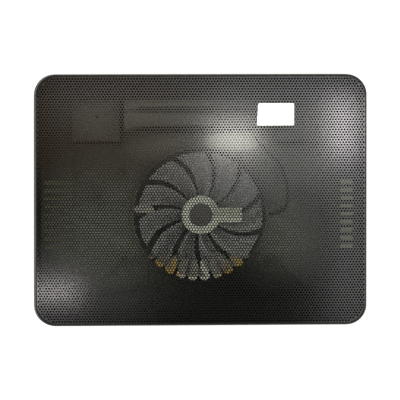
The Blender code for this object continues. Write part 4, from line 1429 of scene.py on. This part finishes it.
@dataclass
class CableGland:
    """Rubber bush with two rounded flanges in the bay's front wall, open for the cord."""

    bore: float = 1.5 * MM
    neck: float = 3.0 * MM
    flange_round: float = 0.4 * MM
    flange_thick: float = 1.0 * MM
    steps: int = 48

    def build(self) -> None:
        """Turns the bush's profile about its own axis and lays that along Y."""
        low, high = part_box("cable_gland")
        middle = (low + high) / 2
        half = (high.y - low.y) / 2
        flange = (high.z - low.z) / 2
        near = half - self.flange_thick
        soft = self.flange_round
        profile = [
            (self.bore, -half),
            *rounded_corner((flange - soft, soft - half), -90.0, 0.0, soft, 4),
            (flange, -near),
            (self.neck, -near),
            (self.neck, near),
            (flange, near),
            *rounded_corner((flange - soft, half - soft), 0.0, 90.0, soft, 4),
            (self.bore, half),
        ]
        upright, _ = turned(profile, (0.0, 0.0), self.steps)
        points = upright[:, [0, 2, 1]] + np.array(middle)
        mesh = mesh_from("rubber_gland", points, wrapped_grid(len(profile), self.steps, wrap_rows=True))
        close_seams(mesh)
        shade(mesh)
        place_piece(mesh, Body.BASE, BLACK_RUBBER, ["cable_gland"])


@dataclass
class FoldingLeg:
    """Fold-out leg with its hinge pins, and the rubber tip on its free end."""

    body: Body
    edge_round: float = 0.35 * MM
    tip_round: float = 0.5 * MM
    sharp_degrees: float = 40.0

    def rounded_piece(self, node: str, name: str, finish: Finish, edge_round: float) -> None:
        """Rounds the edges of a merged copy of a CAD node.

        Args:
            node: the CAD node.
            name: the piece's name.
            finish: its finish.
            edge_round: the width of the rounding.
        """
        mesh = merged_copy(node, name)
        shade(mesh)
        piece = place_piece(mesh, self.body, finish, [node])
        bevel = piece.modifiers.new("edge_round", "BEVEL")
        bevel.width = edge_round
        bevel.segments = 3
        bevel.limit_method = "ANGLE"
        bevel.angle_limit = math.radians(self.sharp_degrees)
        bevel.use_clamp_overlap = True

    def build(self) -> None:
        """Builds the leg and its tip."""
        side = self.body.value
        self.rounded_piece(side, f"{side}_plate", MOULDED_ABS, self.edge_round)
        self.rounded_piece(f"{side}_tip", f"{side}_pad", BLACK_RUBBER, self.tip_round)


@dataclass
class RubberFoot:
    """Round rubber foot with a dished underside, sunk in the tray's floor."""

    node: str
    dish: float = 0.4 * MM
    land: float = 1.6 * MM
    edge_round: float = 0.7 * MM
    steps: int = 64

    def build(self) -> None:
        """Turns the foot: a shallow dish, a flat ring to stand on, a rounded edge and a straight side."""
        low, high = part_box(self.node)
        middle = (low + high) / 2
        radius = (high.x - low.x) / 2
        ring_inner = radius - self.edge_round - self.land
        edge_centre = (radius - self.edge_round, low.z + self.edge_round)
        edge = rounded_corner(edge_centre, -90.0, 0.0, self.edge_round, 6)
        profile = [
            (0.0, low.z + self.dish),
            (ring_inner - 2 * self.dish, low.z + self.dish),
            (ring_inner, low.z),
            *edge,
            (radius, high.z),
            (0.0, high.z),
        ]
        mesh = mesh_from(f"{self.node}_turned", *turned(profile, (middle.x, middle.y), self.steps))
        close_seams(mesh)
        shade(mesh)
        place_piece(mesh, Body.BASE, BLACK_RUBBER, [self.node])


# Floor, light and camera


@dataclass(frozen=True)
class Lamp:
    """Soft box that faces straight down: where it hangs, its width and depth, its brightness and its tone.

    Most of them make the panel's sheen and light the pad's top alone. The others lie under the panel: they
    stand for the light that the holes let in, which would come out grainy when followed through thousands
    of holes.
    """

    name: str
    place: tuple[float, float, float]
    size: tuple[float, float]
    radiance: float
    tone: str
    top_only: bool = True

    def add(self, top: bpy.types.Collection) -> None:
        """Hangs the lamp out of the camera's sight.

        Args:
            top: the pieces that a lamp for the top alone lights.
        """
        data = bpy.data.lights.new(self.name, "AREA")
        data.shape = "RECTANGLE"
        data.size, data.size_y = self.size
        data.energy = self.radiance * math.pi * self.size[0] * self.size[1]
        data.color = linear(self.tone)[:3]
        lamp = bpy.data.objects.new(self.name, data)
        lamp.location = self.place
        lamp.visible_camera = False
        if self.top_only:
            lamp.light_linking.receiver_collection = top
        bpy.context.scene.collection.objects.link(lamp)


# Lamps that overlap in plan hang at different heights, because one would hide the other at the same height.
LAMPS = (
    Lamp("rear_right_panel", (0.136, 0.058, 0.400), (0.18, 0.115), 3.6, "ffffff"),
    Lamp("rear_panel", (0.046, 0.101, 0.408), (0.34, 0.034), 3.3, "ffffff"),
    Lamp("right_panel", (0.211, -0.066, 0.412), (0.050, 0.18), 4.8, "ffffff"),
    Lamp("left_panel", (-0.056, 0.070, 0.416), (0.19, 0.105), 1.0, "ffd090"),
    Lamp("right_glow", (0.172, 0.068, 0.226), (0.03, 0.06), 25.0, "fff6f8"),
    Lamp("front_left_glow", (-0.137, -0.1025, 0.226), (0.06, 0.012), 30.0, "fff6f8"),
    Lamp("front_left_wash", (-0.066, -0.126, 0.420), (0.10, 0.04), 1.5, "ffffff"),
    Lamp("middle_glow", (0.055, 0.0590, 0.206), (0.048, 0.032), 24.5, "fffaf2"),
    Lamp("fan_glow", (0.074, 0.0125, 0.326), (0.05, 0.05), 1.9, "ffffff"),
    Lamp("light_let_in", (-0.070, 0.0245, 0.0244), (0.16, 0.161), 0.36, "ffffff", top_only=False),
    Lamp("light_let_in_fan", (0.045, -0.0370, 0.0244), (0.07, 0.038), 0.36, "ffffff", top_only=False),
    Lamp("light_let_in_far", (0.080, 0.0435, 0.0244), (0.14, 0.123), 0.15, "ffffff", top_only=False),
    Lamp("light_let_in_left", (-0.107, -0.079, 0.0243), (0.086, 0.052), 0.36, "ffffff", top_only=False),
    Lamp("light_let_in_right", (0.115, -0.051, 0.0243), (0.070, 0.066), 0.36, "ffffff", top_only=False),
    Lamp("light_let_in_rear", (0.036, 0.0595, 0.0242), (0.05, 0.018), 1.8, "ffffff", top_only=False),
)


@dataclass
class Studio:
    """White floor, soft light from above and a long-lens camera nearly straight over the pad."""

    floor_z: float = -24.5 * MM
    floor_half: float = 20.0
    # The cards just under the tray are painted shade; their glints and glows are painted light.
    shade_card_z: float = 2.6 * MM
    vent_shade_card: tuple[float, float, float, float] = (-0.163, -0.088, 0.163, 0.056)
    bay_shade_card: tuple[float, float, float, float] = (-0.076, 0.056, 0.076, 0.100)
    glint_from: float = -0.056
    glint_soft: float = 0.008
    glint_middle: tuple[float, float] = (0.014, 0.026)
    glint_pale: str = "cfcdb8"
    glint_gold: str = "b89a4c"
    glint_glow: float = 0.55
    shade_card_glow: float = 0.02
    shade_card_tone: str = "080808"
    shade_card_roughness: float = 0.9
    side_glint: Patch = Patch((-55.0, -10.0), (12.0, 4.5), 0.35)
    vents_from: tuple[float, float] = (-0.120, 0.146)
    vent_glint_tone: str = "9a9a7c"
    vent_glow: tuple[float, float] = (0.20, 0.40)
    sky_tone: str = "fdfdf2"
    sky_low: float = 0.6
    sky_ring: float = 2.0
    sky_top: float = 0.06
    ring_from: tuple[float, float] = (0.66, 0.74)
    ring_to: tuple[float, float] = (0.87, 0.92)
    lens_mm: float = 600.0
    sensor_mm: float = 36.0
    frame_width: float = 407.2 * MM
    lean_left_degrees: float = 6.5
    lean_rear_degrees: float = 2.0
    aim: tuple[float, float, float] = (-1.5 * MM, 0.0, 26.0 * MM)

    def add_camera(self) -> None:
        """Looks down on the panel from a little left and behind, so that the left wall shows."""
        data = bpy.data.cameras.new("camera")
        data.lens = self.lens_mm
        data.sensor_width = self.sensor_mm
        distance = self.frame_width * self.lens_mm / self.sensor_mm
        data.clip_end = 3.0 * distance
        lean = (math.radians(self.lean_left_degrees), math.radians(self.lean_rear_degrees))
        back = Vector((-math.tan(lean[0]), math.tan(lean[1]), 1.0)).normalized()
        right = Vector((0.0, 1.0, 0.0)).cross(back).normalized()
        up = back.cross(right)
        camera = bpy.data.objects.new("camera", data)
        bpy.context.scene.collection.objects.link(camera)
        turn = Matrix((right, up, back)).transposed().to_4x4()
        camera.matrix_world = Matrix.Translation(Vector(self.aim) + back * distance) @ turn
        bpy.context.scene.camera = camera

    def shade_card_material(self) -> bpy.types.Material:
        """Black card that is painted shade under the pad, with painted glints that shine up a little, as a
        lit table does through the tray's openings.

        The front strip under the guard slots is pale in the middle and golden to the sides. A small place
        under the slots on the left is pale. The ends under the side vents are dim. The underside stays dark.

        Returns:
            The card's material.
        """
        material = bpy.data.materials.new("painted_shade_card_with_glints")
        material.use_nodes = True
        tree = material.node_tree
        place = add_node(tree, "ShaderNodeTexCoord").outputs["Object"]
        axes = add_node(tree, "ShaderNodeSeparateXYZ", {"Vector": place})
        across = axes.outputs["X"]
        aside = math_node(tree, "ABSOLUTE", across)
        front = add_node(
            tree,
            "ShaderNodeMapRange",
            {
                "Value": axes.outputs["Y"],
                "From Min": self.glint_from,
                "From Max": self.glint_from - self.glint_soft,
            },
        ).outputs["Result"]
        golden = add_node(
            tree,
            "ShaderNodeMapRange",
            {
                "Value": aside,
                "From Min": self.glint_middle[0],
                "From Max": self.glint_middle[1],
                "To Max": front,
            },
        )
        slot_tone = add_node(
            tree,
            "ShaderNodeMix",
            {"Factor": golden.outputs["Result"], "A": linear(self.glint_pale), "B": linear(self.glint_gold)},
            data_type="RGBA",
        )
        front_glow = add_node(
            tree,
            "ShaderNodeMapRange",
            {"Value": front, "To Min": self.shade_card_glow, "To Max": self.glint_glow},
        )
        strip = math_node(tree, "ADD", front_glow.outputs["Result"], self.side_glint.add(tree, place))
        left, right = self.vents_from
        at_left = math_node(tree, "LESS_THAN", across, left)
        at_right = math_node(tree, "GREATER_THAN", across, right)
        at_vent = math_node(tree, "ADD", at_left, at_right)
        tone = add_node(
            tree,
            "ShaderNodeMix",
            {"Factor": at_vent, "A": slot_tone.outputs["Result"], "B": linear(self.vent_glint_tone)},
            data_type="RGBA",
        )
        for share, vent in ((at_left, self.vent_glow[0]), (at_right, self.vent_glow[1])):
            strip = add_node(
                tree, "ShaderNodeMapRange", {"Value": share, "To Min": strip, "To Max": vent}
            ).outputs["Result"]
        under = add_node(tree, "ShaderNodeNewGeometry").outputs["Backfacing"]
        glow = add_node(tree, "ShaderNodeMapRange", {"Value": under, "To Min": strip, "To Max": 0.0})
        shader = tree.nodes["Principled BSDF"]
        shader.inputs["Base Color"].default_value = linear(self.shade_card_tone)
        shader.inputs["Roughness"].default_value = self.shade_card_roughness
        tree.links.new(tone.outputs["Result"], shader.inputs["Emission Color"])
        tree.links.new(glow.outputs["Result"], shader.inputs["Emission Strength"])
        return material

    def add_sheet(
        self, name: str, spread: tuple[float, float, float, float], z: float, material: bpy.types.Material
    ) -> bpy.types.Object:
        """Lays a flat sheet that isn't part of the pad.

        Args:
            name: the sheet's name.
            spread: its lowest x and y and its highest x and y.
            z: its height.
            material: its material.

        Returns:
            The sheet.
        """
        x0, y0, x1, y1 = spread
        points = np.array([(x0, y0, z), (x1, y0, z), (x1, y1, z), (x0, y1, z)])
        mesh = mesh_from(name, points, np.array([[0, 1, 2, 3]]))
        mesh.materials.append(material)
        sheet = bpy.data.objects.new(name, mesh)
        bpy.context.scene.collection.objects.link(sheet)
        return sheet

    def add_sheets(self) -> None:
        """Lays the floor where the opened legs stand, and black cards close under the pad as painted shade
        with painted glints.
        """
        half = self.floor_half
        self.add_sheet("studio_floor", (-half, -half, half, half), self.floor_z, BACKDROP_PAPER.material())
        dark = self.shade_card_material()
        self.add_sheet("vent_shade_card", self.vent_shade_card, self.shade_card_z, dark)
        self.add_sheet("bay_shade_card", self.bay_shade_card, self.shade_card_z, dark)

    def add_sky(self) -> None:
        """Surrounds the scene with soft light: a bright ring high up, dim overhead and plain lower down.

        The strength follows the height of the direction that is looked in: it rises smoothly from the low
        value to the ring's, and falls again to the top's.
        """
        world = bpy.data.worlds.new("soft_light")
        world.use_nodes = True
        tree = world.node_tree
        direction = add_node(tree, "ShaderNodeTexCoord").outputs["Generated"]
        axes = add_node(tree, "ShaderNodeSeparateXYZ", {"Vector": direction})
        strength = self.sky_low
        for (start, stop), value in ((self.ring_from, self.sky_ring), (self.ring_to, self.sky_top)):
            step = add_node(
                tree,
                "ShaderNodeMapRange",
                {
                    "Value": axes.outputs["Z"],
                    "From Min": start,
                    "From Max": stop,
                    "To Min": strength,
                    "To Max": value,
                },
                interpolation_type="SMOOTHSTEP",
            )
            strength = step.outputs["Result"]
        sky = tree.nodes["Background"]
        sky.inputs["Color"].default_value = linear(self.sky_tone)
        tree.links.new(strength, sky.inputs["Strength"])
        bpy.context.scene.world = world

    def build(self, top: Sequence[bpy.types.Object]) -> None:
        """Sets up the camera, the floor, the light and plain display colours.

        Args:
            top: the panel's pieces and the badge, which some lamps light alone.
        """
        self.add_camera()
        self.add_sheets()
        self.add_sky()
        lit_top = bpy.data.collections.new("lit_top")
        for piece in top:
            lit_top.objects.link(piece)
        for lamp in LAMPS:
            lamp.add(lit_top)
        bpy.context.scene.view_settings.view_transform = "Standard"


def main() -> None:
    """Builds the studio and every sub-assembly in order."""
    logging.basicConfig(level=logging.INFO, format="%(message)s")
    top = [*PerforatedPanel().build(), Badge().build()]
    Studio().build(top)
    Tray().build()
    FanRotor().build()
    Motor().build()
    FanLead().build()
    CableGland().build()
    for body in (Body.LEFT_LEG, Body.RIGHT_LEG):
        FoldingLeg(body).build()
    for end in ("front", "rear"):
        for side in ("left", "right"):
            RubberFoot(f"rubber_foot_{end}_{side}").build()


if __name__ == "__main__":
    main()
